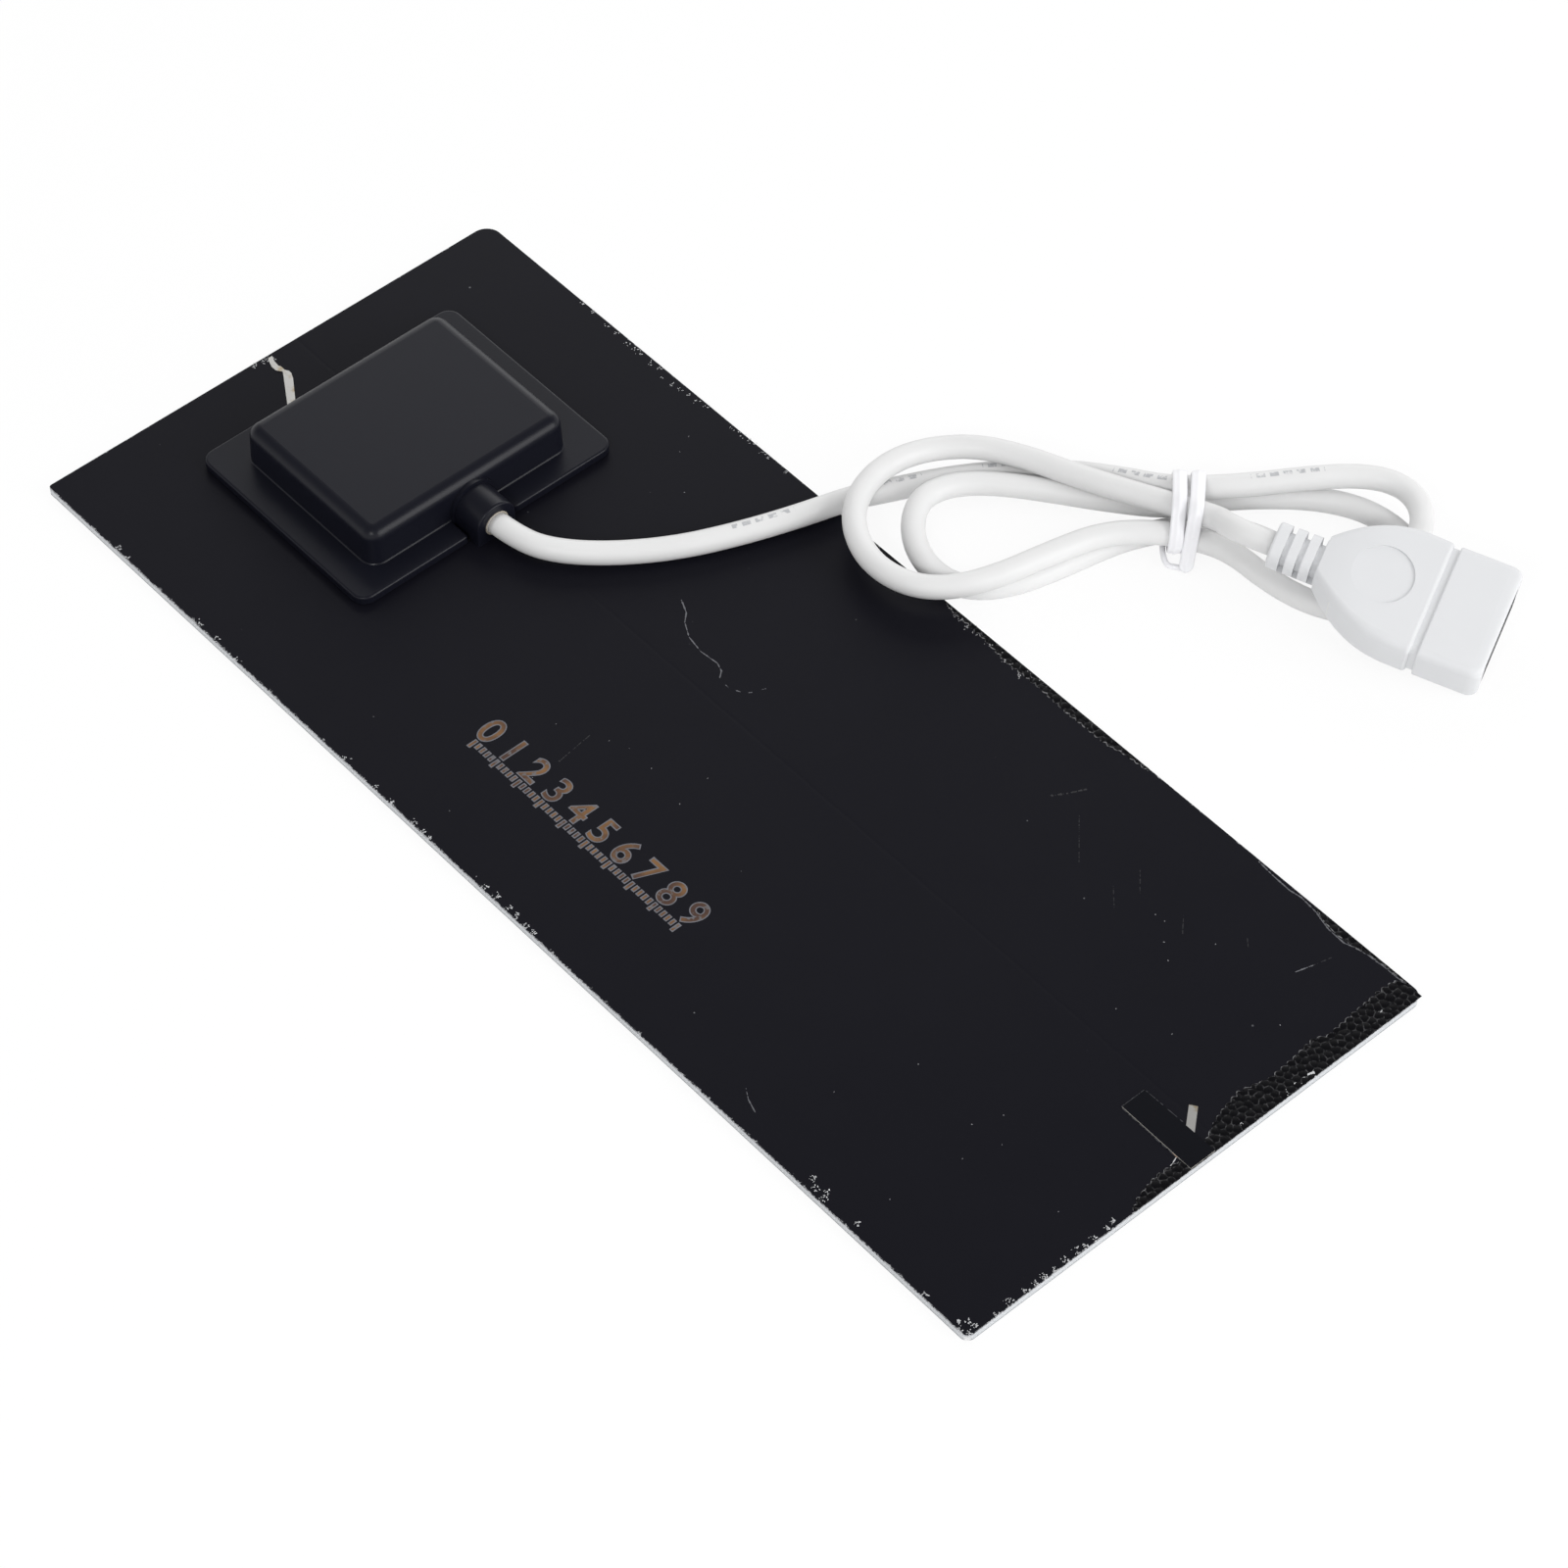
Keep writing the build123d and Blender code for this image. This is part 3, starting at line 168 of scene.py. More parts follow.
@dataclass(frozen=True)
class Finish:
    """A surface with one base colour, slightly mottled, and its own fine relief."""

    name: str
    colour: str
    roughness: float
    metallic: float = 0.0
    ior: float = 1.5
    specular: float = 0.5
    alpha: float = 1.0
    grain_mm: float = 0.3
    grain_height_mm: float = 0.004
    mottle: float = 0.04
    mottle_mm: float = 6.0
    coat: float = 0.0

    def build(self) -> bpy.types.Material:
        """Make the finish.

        Returns:
            The material.
        """
        made = bpy.data.materials.new(self.name)
        made.use_nodes = True
        tree = made.node_tree
        tree.nodes.clear()
        coords = add_node(tree, "ShaderNodeTexCoord").outputs["Object"]
        shader = add_node(tree, "ShaderNodeBsdfPrincipled", {
            "Base Color": linear(self.colour), "Roughness": self.roughness,
            "Metallic": self.metallic, "IOR": self.ior, "Specular IOR Level": self.specular,
            "Alpha": self.alpha, "Coat Weight": self.coat})
        add_node(tree, "ShaderNodeOutputMaterial", {"Surface": shader})
        self.pattern(Surface(tree, shader, coords))
        return made

    def pattern(self, made: Surface) -> None:
        """Give the surface its mottled colour, and then its grain."""
        self.mottled(made, linear(self.colour))
        self.grained(made)

    def tinted(self, made: Surface, share: Source, tint: str) -> None:
        """Tint part of the surface, then mottle and grain all of it.

        Args:
            made: the surface.
            share: how strong the tint is at a place, from 0 to 1.
            tint: its hex colour.
        """
        colour = add_node(made.tree, "ShaderNodeMix", {
            "Factor": share, 6: linear(self.colour), 7: linear(tint)}, data_type="RGBA")
        self.mottled(made, colour)
        self.grained(made)

    def mottled(self, made: Surface, base: Source) -> None:
        """Vary the base colour a little from place to place.

        Args:
            made: the surface.
            base: the colour, or the node that gives it.
        """
        cloud = add_node(made.tree, "ShaderNodeTexNoise", {
            "Vector": made.coords, "Scale": across(self.mottle_mm), "Detail": MOTTLE_LAYERS})
        level = add_node(made.tree, "ShaderNodeMath", {
            0: cloud, 1: 2 * self.mottle, 2: 1 - self.mottle}, operation="MULTIPLY_ADD")
        colour = add_node(made.tree, "ShaderNodeMix", {"Factor": 1.0, 6: base, 7: level},
                          data_type="RGBA", blend_type="MULTIPLY")
        made.tree.links.new(colour.outputs[2], made.shader.inputs["Base Color"])

    def grained(self, made: Surface) -> bpy.types.Node:
        """Give the surface its fine relief.

        Args:
            made: the surface.

        Returns:
            The bump node.
        """
        grain = add_node(made.tree, "ShaderNodeTexNoise", {
            "Vector": made.coords, "Scale": across(self.grain_mm), "Detail": GRAIN_LAYERS})
        bump = add_node(made.tree, "ShaderNodeBump", {
            "Height": grain, "Strength": 1.0, "Distance": self.grain_height_mm * MM})
        made.tree.links.new(bump.outputs["Normal"], made.shader.inputs["Normal"])
        return bump


@dataclass(frozen=True)
class BackFilm(Finish):
    """Black polyester film with a satin face: frayed pale along its cut edges, dusty and scuffed.

    fray holds, for each edge, the depth of the even pale line and of the deepest chips, in
    millimetres. line_step and chip_step are the levels of one noise between which line and chips
    come in, and fray_layers that noise's finer layers and their strength. dust_radius is a
    speck's least radius and how much larger it may be, as parts of dust_pitch_mm, and dust_unseen
    the part of the specks that are too faint to see. seam_y_mm is where the film dips a hair
    between the two rows of cells.
    """

    fray: tuple[tuple[Side, float, float], ...] = (
        (Side.NEAR_SIDE, 0.10, 0.85), (Side.FAR_END, 0.08, 0.35), (Side.CORD_SIDE, 0.03, 0.45),
        (Side.BOX_END, 0.02, 0.30))
    fray_colour: str = "#A9AAAC"
    fray_mm: float = 1.5
    fray_layers: tuple[float, float] = (6.0, 0.8)
    line_step: tuple[float, float] = (0.30, 0.50)
    chip_step: tuple[float, float] = (0.52, 0.80)
    fray_roughness: float = 0.25
    fibres: Patches = Patches(0.35, 2.0, 0.35, 0.65)
    dust_colour: str = "#77787C"
    dust_pitch_mm: float = 5.0
    dust_radius: tuple[float, float] = (0.012, 0.020)
    dust_unseen: float = 0.35
    rub_mm: float = 34.0
    rub_layers: float = 4.0
    rub_roughness: float = 0.14
    seam_y_mm: float = 4.0
    seam_half_mm: float = 0.45
    seam_depth_mm: float = 0.01

    def pattern(self, made: Surface) -> None:
        """Fray the edges, and lay dust and faint rubbed patches on the face.

        Args:
            made: the surface.
        """
        tree = made.tree
        frayed = self.frayed(made)
        dusted = add_node(tree, "ShaderNodeMix", {
            "Factor": self.dusty(made), 6: linear(self.colour),
            7: linear(self.dust_colour)}, data_type="RGBA")
        torn = add_node(tree, "ShaderNodeMix", {
            "Factor": self.fibres.lay(made), 6: linear(self.colour),
            7: linear(self.fray_colour)}, data_type="RGBA")
        colour = add_node(tree, "ShaderNodeMix", {
            "Factor": frayed, 6: dusted, 7: torn}, data_type="RGBA")
        self.mottled(made, colour)
        rubbed = add_node(tree, "ShaderNodeTexNoise", {
            "Vector": made.coords, "Scale": across(self.rub_mm), "Detail": self.rub_layers})
        plain = add_node(tree, "ShaderNodeMath", {
            0: rubbed, 1: self.rub_roughness, 2: self.roughness - self.rub_roughness / 2},
            operation="MULTIPLY_ADD")
        roughness = add_node(tree, "ShaderNodeMath", {
            0: frayed, 1: self.fray_roughness, 2: plain}, operation="MULTIPLY_ADD")
        tree.links.new(roughness.outputs[0], made.shader.inputs["Roughness"])
        self.dipped(made, self.grained(made))

    def frayed(self, made: Surface) -> Source:
        """Find where the film's edge is frayed or chipped off.

        Args:
            made: the surface.

        Returns:
            The node that gives 1 there, and 0 elsewhere.
        """
        tree = made.tree
        place = add_node(tree, "ShaderNodeSeparateXYZ", {0: made.coords}).outputs
        ragged = add_node(tree, "ShaderNodeTexNoise", {
            "Vector": made.coords, "Scale": across(self.fray_mm),
            "Detail": self.fray_layers[0], "Roughness": self.fray_layers[1]})
        thin, chips = (
            add_node(tree, "ShaderNodeMapRange", {
                "Value": ragged, "From Min": low, "From Max": high},
                interpolation_type="SMOOTHSTEP")
            for low, high in (self.line_step, self.chip_step))
        found: Source = 0.0
        for side, line_mm, chip_mm in self.fray:
            axis, sign = side.value
            half = (SHEET_HIGH[axis] - SHEET_LOW[axis]) / 2
            inwards = add_node(tree, "ShaderNodeMath", {0: place[axis], 1: -float(sign), 2: half},
                               operation="MULTIPLY_ADD")
            line = add_node(tree, "ShaderNodeMath", {0: thin, 1: line_mm * MM},
                            operation="MULTIPLY")
            reach = add_node(tree, "ShaderNodeMath", {0: chips, 1: chip_mm * MM, 2: line},
                             operation="MULTIPLY_ADD")
            here = add_node(tree, "ShaderNodeMath", {0: inwards, 1: reach}, operation="LESS_THAN")
            found = add_node(tree, "ShaderNodeMath", {0: here, 1: found}, operation="MAXIMUM")
        return found

    def dusty(self, made: Surface) -> bpy.types.Node:
        """Strew specks of dust about a fifth of a millimetre across, some fainter than others.

        Args:
            made: the surface.

        Returns:
            The node that gives how much dust lies at a place.
        """
        tree = made.tree
        specks = add_node(tree, "ShaderNodeTexVoronoi", {
            "Vector": made.coords, "Scale": across(self.dust_pitch_mm), "Randomness": 1.0})
        chance = add_node(tree, "ShaderNodeSeparateColor", {0: specks.outputs["Color"]}).outputs
        size = add_node(tree, "ShaderNodeMath", {
            0: chance[1], 1: self.dust_radius[1], 2: self.dust_radius[0]},
            operation="MULTIPLY_ADD")
        near = add_node(tree, "ShaderNodeMath", {0: specks.outputs["Distance"], 1: size},
                        operation="LESS_THAN")
        faint = add_node(tree, "ShaderNodeMapRange", {
            "Value": chance[0], "From Min": self.dust_unseen, "From Max": 1.0}).outputs["Result"]
        return add_node(tree, "ShaderNodeMath", {0: near, 1: faint}, operation="MULTIPLY")

    def dipped(self, made: Surface, grain: bpy.types.Node) -> None:
        """Let the film dip by a hundredth of a millimetre along one straight line.

        Args:
            made: the surface.
            grain: the bump node that gives the film's fine relief.
        """
        tree = made.tree
        along = add_node(tree, "ShaderNodeSeparateXYZ", {0: made.coords}).outputs["Y"]
        gap = add_node(tree, "ShaderNodeMath", {0: along, 1: self.seam_y_mm * MM},
                       operation="SUBTRACT")
        near = add_node(tree, "ShaderNodeMath", {0: gap}, operation="ABSOLUTE")
        height = add_node(tree, "ShaderNodeMapRange", {
            "Value": near, "From Min": 0.0, "From Max": self.seam_half_mm * MM},
            interpolation_type="SMOOTHSTEP")
        bump = add_node(tree, "ShaderNodeBump", {
            "Height": height, "Normal": grain, "Strength": 1.0,
            "Distance": self.seam_depth_mm * MM})
        tree.links.new(bump.outputs["Normal"], made.shader.inputs["Normal"])


@dataclass(frozen=True)
class CutTape(Finish):
    """Black tape whose cut edge shows its pale adhesive."""

    edge: str = "#B9B6B0"

    def pattern(self, made: Surface) -> None:
        """Colour the faces that stand upright like the adhesive.

        Args:
            made: the surface.
        """
        facing = add_node(made.tree, "ShaderNodeNewGeometry").outputs["Normal"]
        rise = add_node(made.tree, "ShaderNodeSeparateXYZ", {0: facing}).outputs["Z"]
        upright = add_node(made.tree, "ShaderNodeMath", {0: rise, 1: 0.5}, operation="LESS_THAN")
        self.tinted(made, upright, self.edge)


@dataclass(frozen=True)
class TinnedRibbon(Finish):
    """Dull tin over copper, yellowed by flux in patches of a millimetre or two."""

    flux: str = "#A8946C"
    stains: Patches = Patches(1.6, 4.0, 0.50, 0.72, 0.75)

    def pattern(self, made: Surface) -> None:
        """Stain the tin in patches."""
        self.tinted(made, self.stains.lay(made), self.flux)


@dataclass(frozen=True)
class CellSilicon(Finish):
    """Blue-black silicon under its coating, with fine printed silver fingers across it."""

    finger: str = "#8E949C"
    finger_pitch_mm: float = 1.55
    finger_mm: float = 0.11

    def pattern(self, made: Surface) -> None:
        """Draw the silver fingers across the blue.

        Args:
            made: the surface.
        """
        along = add_node(made.tree, "ShaderNodeSeparateXYZ", {0: made.coords}).outputs["X"]
        within = add_node(made.tree, "ShaderNodeMath", {
            0: along, 1: self.finger_pitch_mm * MM / 2}, operation="PINGPONG")
        printed = add_node(made.tree, "ShaderNodeMath", {0: within, 1: self.finger_mm * MM / 2},
                           operation="LESS_THAN")
        self.tinted(made, printed, self.finger)


@dataclass(frozen=True)
class ClearLayer(Finish):
    """Clear cast plastic: almost invisible over the cells, frosted where its edge was cut."""

    cut_mm: float = 0.02
    frost_mm: float = 0.22
    frost_alpha: float = 0.85

    def pattern(self, made: Surface) -> None:
        """Make the layer see-through, except along its cut edge.

        Args:
            made: the surface.
        """
        place = add_node(made.tree, "ShaderNodeSeparateXYZ", {0: made.coords}).outputs
        half = (SHEET_HIGH - SHEET_LOW) / 2
        gaps = []
        for axis in (0, 1):
            reach = add_node(made.tree, "ShaderNodeMath", {0: place[axis]}, operation="ABSOLUTE")
            gaps.append(add_node(made.tree, "ShaderNodeMath", {0: half[axis], 1: reach},
                                 operation="SUBTRACT"))
        gap = add_node(made.tree, "ShaderNodeMath", {0: gaps[0], 1: gaps[1]}, operation="MINIMUM")
        alpha = add_node(made.tree, "ShaderNodeMapRange", {
            "Value": gap, "From Min": self.cut_mm * MM, "From Max": self.frost_mm * MM,
            "To Min": self.frost_alpha, "To Max": self.alpha}, interpolation_type="SMOOTHSTEP")
        made.tree.links.new(alpha.outputs["Result"], made.shader.inputs["Alpha"])
        super().pattern(made)


@dataclass(frozen=True)
class Blistered(Finish):
    """Film lifted into small bubbles, whose rim lines get a painted grey highlight, stronger in
    some places than in others.
    """

    # rim is the colour of the painted highlight on the bubbles' rim lines, and of the pale border
    # line.
    rim: str = "#8E8E90"
    wear: Patches = Patches(0.6, 4.0, 0.40, 0.66)

    def pattern(self, made: Surface) -> None:
        """Paint a grey highlight on the bubbles' rim lines, stronger in some places than in others.

        Args:
            made: the surface.
        """
        # The attribute rim holds how strong the painted highlight is at each point, and the pale
        # border line.
        rim = add_node(made.tree, "ShaderNodeAttribute", attribute_name="rim").outputs["Fac"]
        lit = add_node(made.tree, "ShaderNodeMath", {
            0: rim, 1: self.wear.lay(made)}, operation="MULTIPLY")
        colour = add_node(made.tree, "ShaderNodeMix", {
            "Factor": lit, 6: linear(self.colour), 7: linear(self.rim)}, data_type="RGBA")
        made.tree.links.new(colour.outputs[2], made.shader.inputs["Base Color"])
        self.grained(made)


@dataclass(frozen=True)
class CordVinyl(Finish):
    """Soft white vinyl drawn over the wires, with a broken line of small grey marks along it.

    mark_turns holds the part of a turn round the cord that the marks lie between, and mark_span_mm
    the part of the cord's length where they haven't worn off.
    """

    mark: str = "#B4B5B8"
    mark_turns: tuple[float, float] = (0.085, 0.155)
    mark_span_mm: tuple[float, float] = (34.0, 127.0)
    dash_mm: float = 0.62
    dash_pitch_mm: float = 1.9
    group_mm: float = 10.4
    group_pitch_mm: float = 19.0
    kept: Patches = Patches(0.7, 3.0, 0.38, 0.55)

    def pattern(self, made: Surface) -> None:
        """Print plain dashes along one side of the cord.

        Args:
            made: the surface.
        """
        tree = made.tree
        along_map = add_node(tree, "ShaderNodeUVMap", uv_map="along").outputs["UV"]
        place = add_node(tree, "ShaderNodeSeparateXYZ", {0: along_map}).outputs
        limits = []
        for half_pitch, part in ((self.dash_pitch_mm / 2, self.dash_mm),
                                 (self.group_pitch_mm / 2, self.group_mm / 2)):
            phase = add_node(tree, "ShaderNodeMath", {0: place["Y"], 1: half_pitch},
                             operation="PINGPONG")
            limits.append(add_node(tree, "ShaderNodeMath", {0: phase, 1: part},
                                   operation="LESS_THAN"))
        for axis, (start, stop) in (("X", self.mark_turns), ("Y", self.mark_span_mm)):
            limits.append(add_node(tree, "ShaderNodeMath", {
                0: place[axis], 1: (start + stop) / 2, 2: (stop - start) / 2},
                operation="COMPARE"))
        printed: Source = self.kept.lay(made)
        for limit in limits:
            printed = add_node(tree, "ShaderNodeMath", {0: limit, 1: printed},
                               operation="MULTIPLY")
        self.tinted(made, printed, self.mark)


@dataclass(frozen=True)
class GoldFoil(Finish):
    """Bronze-gold foil print: patchy, redder and browner in some places, grey in small flaws."""

    dark: str = "#4E362C"
    grey: str = "#6E6C6E"
    bright: Patches = Patches(5.0, 5.0, 0.35, 0.62)
    flaws: Patches = Patches(0.7, 3.0, 0.54, 0.68)

    def pattern(self, made: Surface) -> None:
        """Break the gold up into browner and brighter patches.

        Args:
            made: the surface.
        """
        gold = add_node(made.tree, "ShaderNodeMix", {
            "Factor": self.bright.lay(made), 6: linear(self.dark),
            7: linear(self.colour)}, data_type="RGBA")
        colour = add_node(made.tree, "ShaderNodeMix", {
            "Factor": self.flaws.lay(made), 6: gold, 7: linear(self.grey)}, data_type="RGBA")
        made.tree.links.new(colour.outputs[2], made.shader.inputs["Base Color"])
        self.grained(made)


# Black polyester film, satin: a near-black that mirrors only a soft, faintly blue sheen.
BACK_FILM = BackFilm("satin black polyester film", "#121219", 0.40, specular=0.09, grain_mm=0.5,
                     grain_height_mm=0.003, mottle=0.06)
# ABS moulded in a finely spark-eroded tool: a softer, slightly bluer and lighter black.
BOX_ABS = Finish("moulded black ABS", "#13141D", 0.34, specular=0.22, grain_mm=0.22,
                 grain_height_mm=0.005)
# Cured silicone, smeared by the fitter's thumb: wetter looking than the parts beside it.
BOX_GLUE = Finish("black silicone adhesive", "#0E0E11", 0.30, specular=0.3, grain_mm=1.2,
                  grain_height_mm=0.02)
# Calendered polyester tape: as black as the film, a little smoother, its cut edge pale.
TAPE = CutTape("smooth black polyester tape", "#0D0E14", 0.34, specular=0.10, grain_mm=1.4,
               grain_height_mm=0.012)
# Hot-dipped tin over copper: dull silver with a slightly wavy face and flux stains.
TINNED_COPPER = TinnedRibbon("hot-tinned copper ribbon", "#C6C5C2", 0.36, metallic=0.85,
                             grain_mm=0.9, grain_height_mm=0.012)
# Solder, set smooth: a brighter silver than the ribbon.
SOLDER = Finish("bright solder", "#D5D6D8", 0.22, metallic=1.0, grain_mm=0.8, grain_height_mm=0.01)
# Silicon with a nitride coating: deep blue to black, glassy under the clear film.
CELL = CellSilicon("blue silicon cell", "#0B1030", 0.25, ior=1.9, coat=0.6)
# Embossed fluoropolymer film: clear, its fine pebbling blurs what it mirrors. Its grey colour, seen
# at its frosted cut edge along the bottom of the sheet's side, is painted shade where the sheet
# meets the floor.
CLEAR_FILM_WITH_PAINTED_SHADE = ClearLayer("clear embossed plastic film, painted shade at its cut edge", "#85898F", 0.30, alpha=0.10, grain_mm=0.8,
                        grain_height_mm=0.02)
# Cross-linked vinyl acetate: clear and colourless, frosty where the knife went through.
CLEAR_RESIN = ClearLayer("clear encapsulant", "#CDD0D3", 0.45, alpha=0.05)
# White glass-fibre laminate: matt, chalky at its cut edge.
BOARD = Finish("white glass-fibre board", "#BDBFC3", 0.6, grain_mm=0.25, grain_height_mm=0.02,
               mottle=0.14, mottle_mm=1.5)
# Polyethylene foam: matt white, pitted by its cells.
FOAM = Finish("white foam tape", "#D8D8D4", 0.8, grain_mm=0.3, grain_height_mm=0.04)
# Epoxy-glass board under solder resist: glossy green.
GREEN_BOARD = Finish("green solder resist", "#0E5A2E", 0.35)
# Moulded epoxy: matt black, sandy.
CHIP = Finish("black epoxy package", "#18181A", 0.55, grain_mm=0.1)
# Sintered ferrite: dark grey, dry and grainy.
FERRITE = Finish("grey ferrite", "#3A3A3E", 0.7, grain_mm=0.2, grain_height_mm=0.01)
# Fired barium titanate: even light brown.
CERAMIC = Finish("tan ceramic", "#A98A63", 0.5)
# Extruded vinyl insulation: plain colour with a soft gloss.
RED_WIRE = Finish("red wire insulation", "#B3171A", 0.35)
BLACK_WIRE = Finish("black wire insulation", "#141416", 0.35)
# Extruded plasticised vinyl: soft white, silky rather than glossy.
CORD = CordVinyl("soft white cord vinyl", "#DFDFDF", 0.42, specular=0.35, grain_mm=0.5,
                 grain_height_mm=0.004, mottle=0.02)
# The same vinyl, cut across: a touch whiter than the cord's handled outside.
JACKET = Finish("white cord vinyl, cut end", "#E3E3E6", 0.42)
# Hot-melt bead wiped round the cord: pale beige and dull.
SEALANT = Finish("beige sealant", "#A79F92", 0.55, grain_mm=0.5, grain_height_mm=0.02)
# Vinyl-covered flat wire: the glossiest of the whites, faintly violet.
TIE = Finish("glossy white tie vinyl", "#F1F1F4", 0.30, grain_mm=0.8, grain_height_mm=0.005,
             mottle=0.02)
# Soft vinyl moulded in a blasted tool: even, matt, a touch greyer than the cord.
OVERMOULD = Finish("moulded white vinyl", "#D9DADC", 0.48, specular=0.35, grain_mm=0.25,
                   grain_height_mm=0.005, mottle=0.015)
# Low-pressure polyethylene: waxy white.
INNER_MOULD = Finish("moulded white polyethylene", "#DEDEDA", 0.5)
# Bright tin plate on folded steel: silver with a soft rolling grain.
TIN_PLATE = Finish("tin-plated steel", "#C9CACB", 0.28, metallic=1.0, grain_mm=0.4,
                   grain_height_mm=0.004)
# Glass-filled nylon: matt white.
NYLON = Finish("white glass-filled nylon", "#E2E2DE", 0.5, grain_mm=0.2)
# Thin gold on bronze: warm, bright.
GOLD = Finish("gold-plated spring bronze", "#E0B46A", 0.22, metallic=1.0)
# Torn glass fibre and film at the cut edges: ragged, matt, off-white.
CHIPPED = Finish("torn white board fibre", "#C4C5C7", 0.7, grain_mm=0.2, grain_height_mm=0.05,
                 mottle=0.25, mottle_mm=0.8)
# House dust: grey grains, drawn at twice their size so that they show.
DUST = Finish("grey dust", "#B4B4B8", 0.8)
# The same film, lifted off in bubbles: a dead black, with a painted grey highlight along the
# bubbles' rim lines.
BLISTER = Blistered("blistered black film", "#0B0B0E", 0.42, specular=0.07, grain_mm=0.3,
                    grain_height_mm=0.008)
# A hairline scratch in black film: pale grey where the surface is ploughed up, drawn a little
# wider than it is so that it shows.
SCRATCH = Finish("pale scratch in the film", "#616267", 0.6, mottle=0.35, mottle_mm=1.2)
FAINT_SCRATCH = Finish("faint scratch in the film", "#1D1D22", 0.6, mottle=0.4, mottle_mm=1.5)
# The tape's cut edge holds a line of dust, greyer than the films on both sides of it.
TAPE_EDGE = Finish("dusty cut edge of tape", "#3E3F44", 0.7, mottle=0.4, mottle_mm=1.0)
# Torn film by the tape: off-white with an orange tinge of flux.
TORN_ORANGE = Finish("flux-stained torn film", "#B08E74", 0.6, mottle=0.4, mottle_mm=0.7)
# Hot-stamped foil: bronze gold, browner where it took badly, with a dull grey rim.
FOIL = GoldFoil("bronze-gold foil print", "#85603A", 0.45, metallic=0.4, grain_mm=0.5,
                grain_height_mm=0.01)
FOIL_RIM = Finish("grey foil rim", "#6C6C72", 0.5, metallic=0.2, mottle=0.3, mottle_mm=0.9)

NODE_FINISHES: dict[Finish, tuple[str, ...]] = {
    CLEAR_FILM_WITH_PAINTED_SHADE: ("front_film",),
    CLEAR_RESIN: ("front_encapsulant", "rear_encapsulant"),
    CELL: ("solar_cells",),
    TINNED_COPPER: ("cell_interconnects", "positive_bus_ribbon", "negative_bus_ribbon",
                    "string_link_ribbon", "positive_lead_ribbon", "negative_lead_ribbon",
                    "end_ribbon_tab"),
    BOARD: ("support_board",),
    BACK_FILM: ("back_film",),
    TAPE: ("ribbon_cover_tape",),
    BOX_GLUE: ("box_adhesive",),
    BOX_ABS: ("junction_box_cover",),
    FOAM: ("board_foam_tape",),
    GREEN_BOARD: ("circuit_board",),
    CHIP: ("regulator_chip", "schottky_diode", "feedback_resistors"),
    FERRITE: ("power_inductor",),
    CERAMIC: ("input_capacitor", "output_capacitor"),
    SOLDER: ("board_solder_joints",),
    RED_WIRE: ("red_wire_box_end", "red_wire_socket_end"),
    BLACK_WIRE: ("black_wire_box_end", "black_wire_socket_end"),
    JACKET: ("cord_jacket_box_end", "cord_jacket_socket_end"),
    SEALANT: ("gland_sealant",),
    OVERMOULD: ("connector_overmould",),
    INNER_MOULD: ("inner_mould",),
    TIN_PLATE: ("socket_shell", "upper_grip_springs", "lower_grip_springs"),
    NYLON: ("socket_insulator",),
    GOLD: tuple(f"contact_{part}_{number}"
                for part in ("spring", "tail") for number in (1, 2, 3, 4)),
}


# ------------------------------------------------------------- piece helpers
MADE: dict[Finish, bpy.types.Material] = {}


def material_of(finish: Finish) -> bpy.types.Material:
    """Find a finish's material, and make it the first time.

    Args:
        finish: the finish.

    Returns:
        Its material.
    """
    if finish not in MADE:
        MADE[finish] = finish.build()
    return MADE[finish]


def new_piece(name: str, mesh: bpy.types.Mesh, finish: Finish,
              smooth: bool = True) -> bpy.types.Object:
    """Put a mesh in the scene as a piece that rides with the sheet.

    Args:
        name: the piece's name.
        mesh: its mesh, already in place.
        finish: its finish.
        smooth: whether its faces are shaded smooth.

    Returns:
        The new object.
    """
    piece = bpy.data.objects.new(name, mesh)
    bpy.context.scene.collection.objects.link(piece)
    mesh.materials.clear()
    mesh.materials.append(material_of(finish))
    for face in mesh.polygons:
        face.use_smooth = smooth
        face.material_index = 0
    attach(piece, BODY)
    LOG.info("%s: %d faces", name, len(mesh.polygons))
    return piece


def mesh_from(name: str, points: Sequence[Sequence[float]],
              faces: Sequence[Sequence[int]]) -> bpy.types.Mesh:
    """Return a mesh of these points and faces, its normals turned outwards.

    Args:
        name: the mesh's name.
        points: its points, in metres.
        faces: its faces, each a run of point numbers.

    Returns:
        The mesh.
    """
    made = bpy.data.meshes.new(name)
    made.from_pydata([tuple(point) for point in points], [], [tuple(face) for face in faces])
    work = bmesh.new()
    work.from_mesh(made)
    bmesh.ops.recalc_face_normals(work, faces=work.faces)
    work.to_mesh(made)
    work.free()
    return made


def give_values(mesh: bpy.types.Mesh, name: str, values: Sequence[float]) -> None:
    """Give each point of a mesh its own value, as a named attribute."""
    mesh.attributes.new(name, "FLOAT", "POINT").data.foreach_set("value", values)


def ring_faces(rings: int, sides: int, closed: bool = False) -> list[tuple[int, ...]]:
    """Join rings of points into the skin of a tube.

    Args:
        rings: how many rings there are.
        sides: how many points each ring has.
        closed: whether the last ring meets the first.

    Returns:
        The faces, each four point numbers.
    """
    faces = []
    for place in range(rings if closed else rings - 1):
        near, far = place * sides, (place + 1) % rings * sides
        for side in range(sides):
            beside = (side + 1) % sides
            faces.append((near + side, near + beside, far + beside, far + side))
    return faces


def joined(name: str, meshes: Sequence[bpy.types.Mesh]) -> bpy.types.Mesh:
    """Join meshes into one, and remove them.

    Args:
        name: the new mesh's name.
        meshes: the meshes.

    Returns:
        The mesh that holds them all.
    """
    work = bmesh.new()
    for mesh in meshes:
        work.from_mesh(mesh)
        bpy.data.meshes.remove(mesh)
    made = bpy.data.meshes.new(name)
    work.to_mesh(made)
    work.free()
    return made


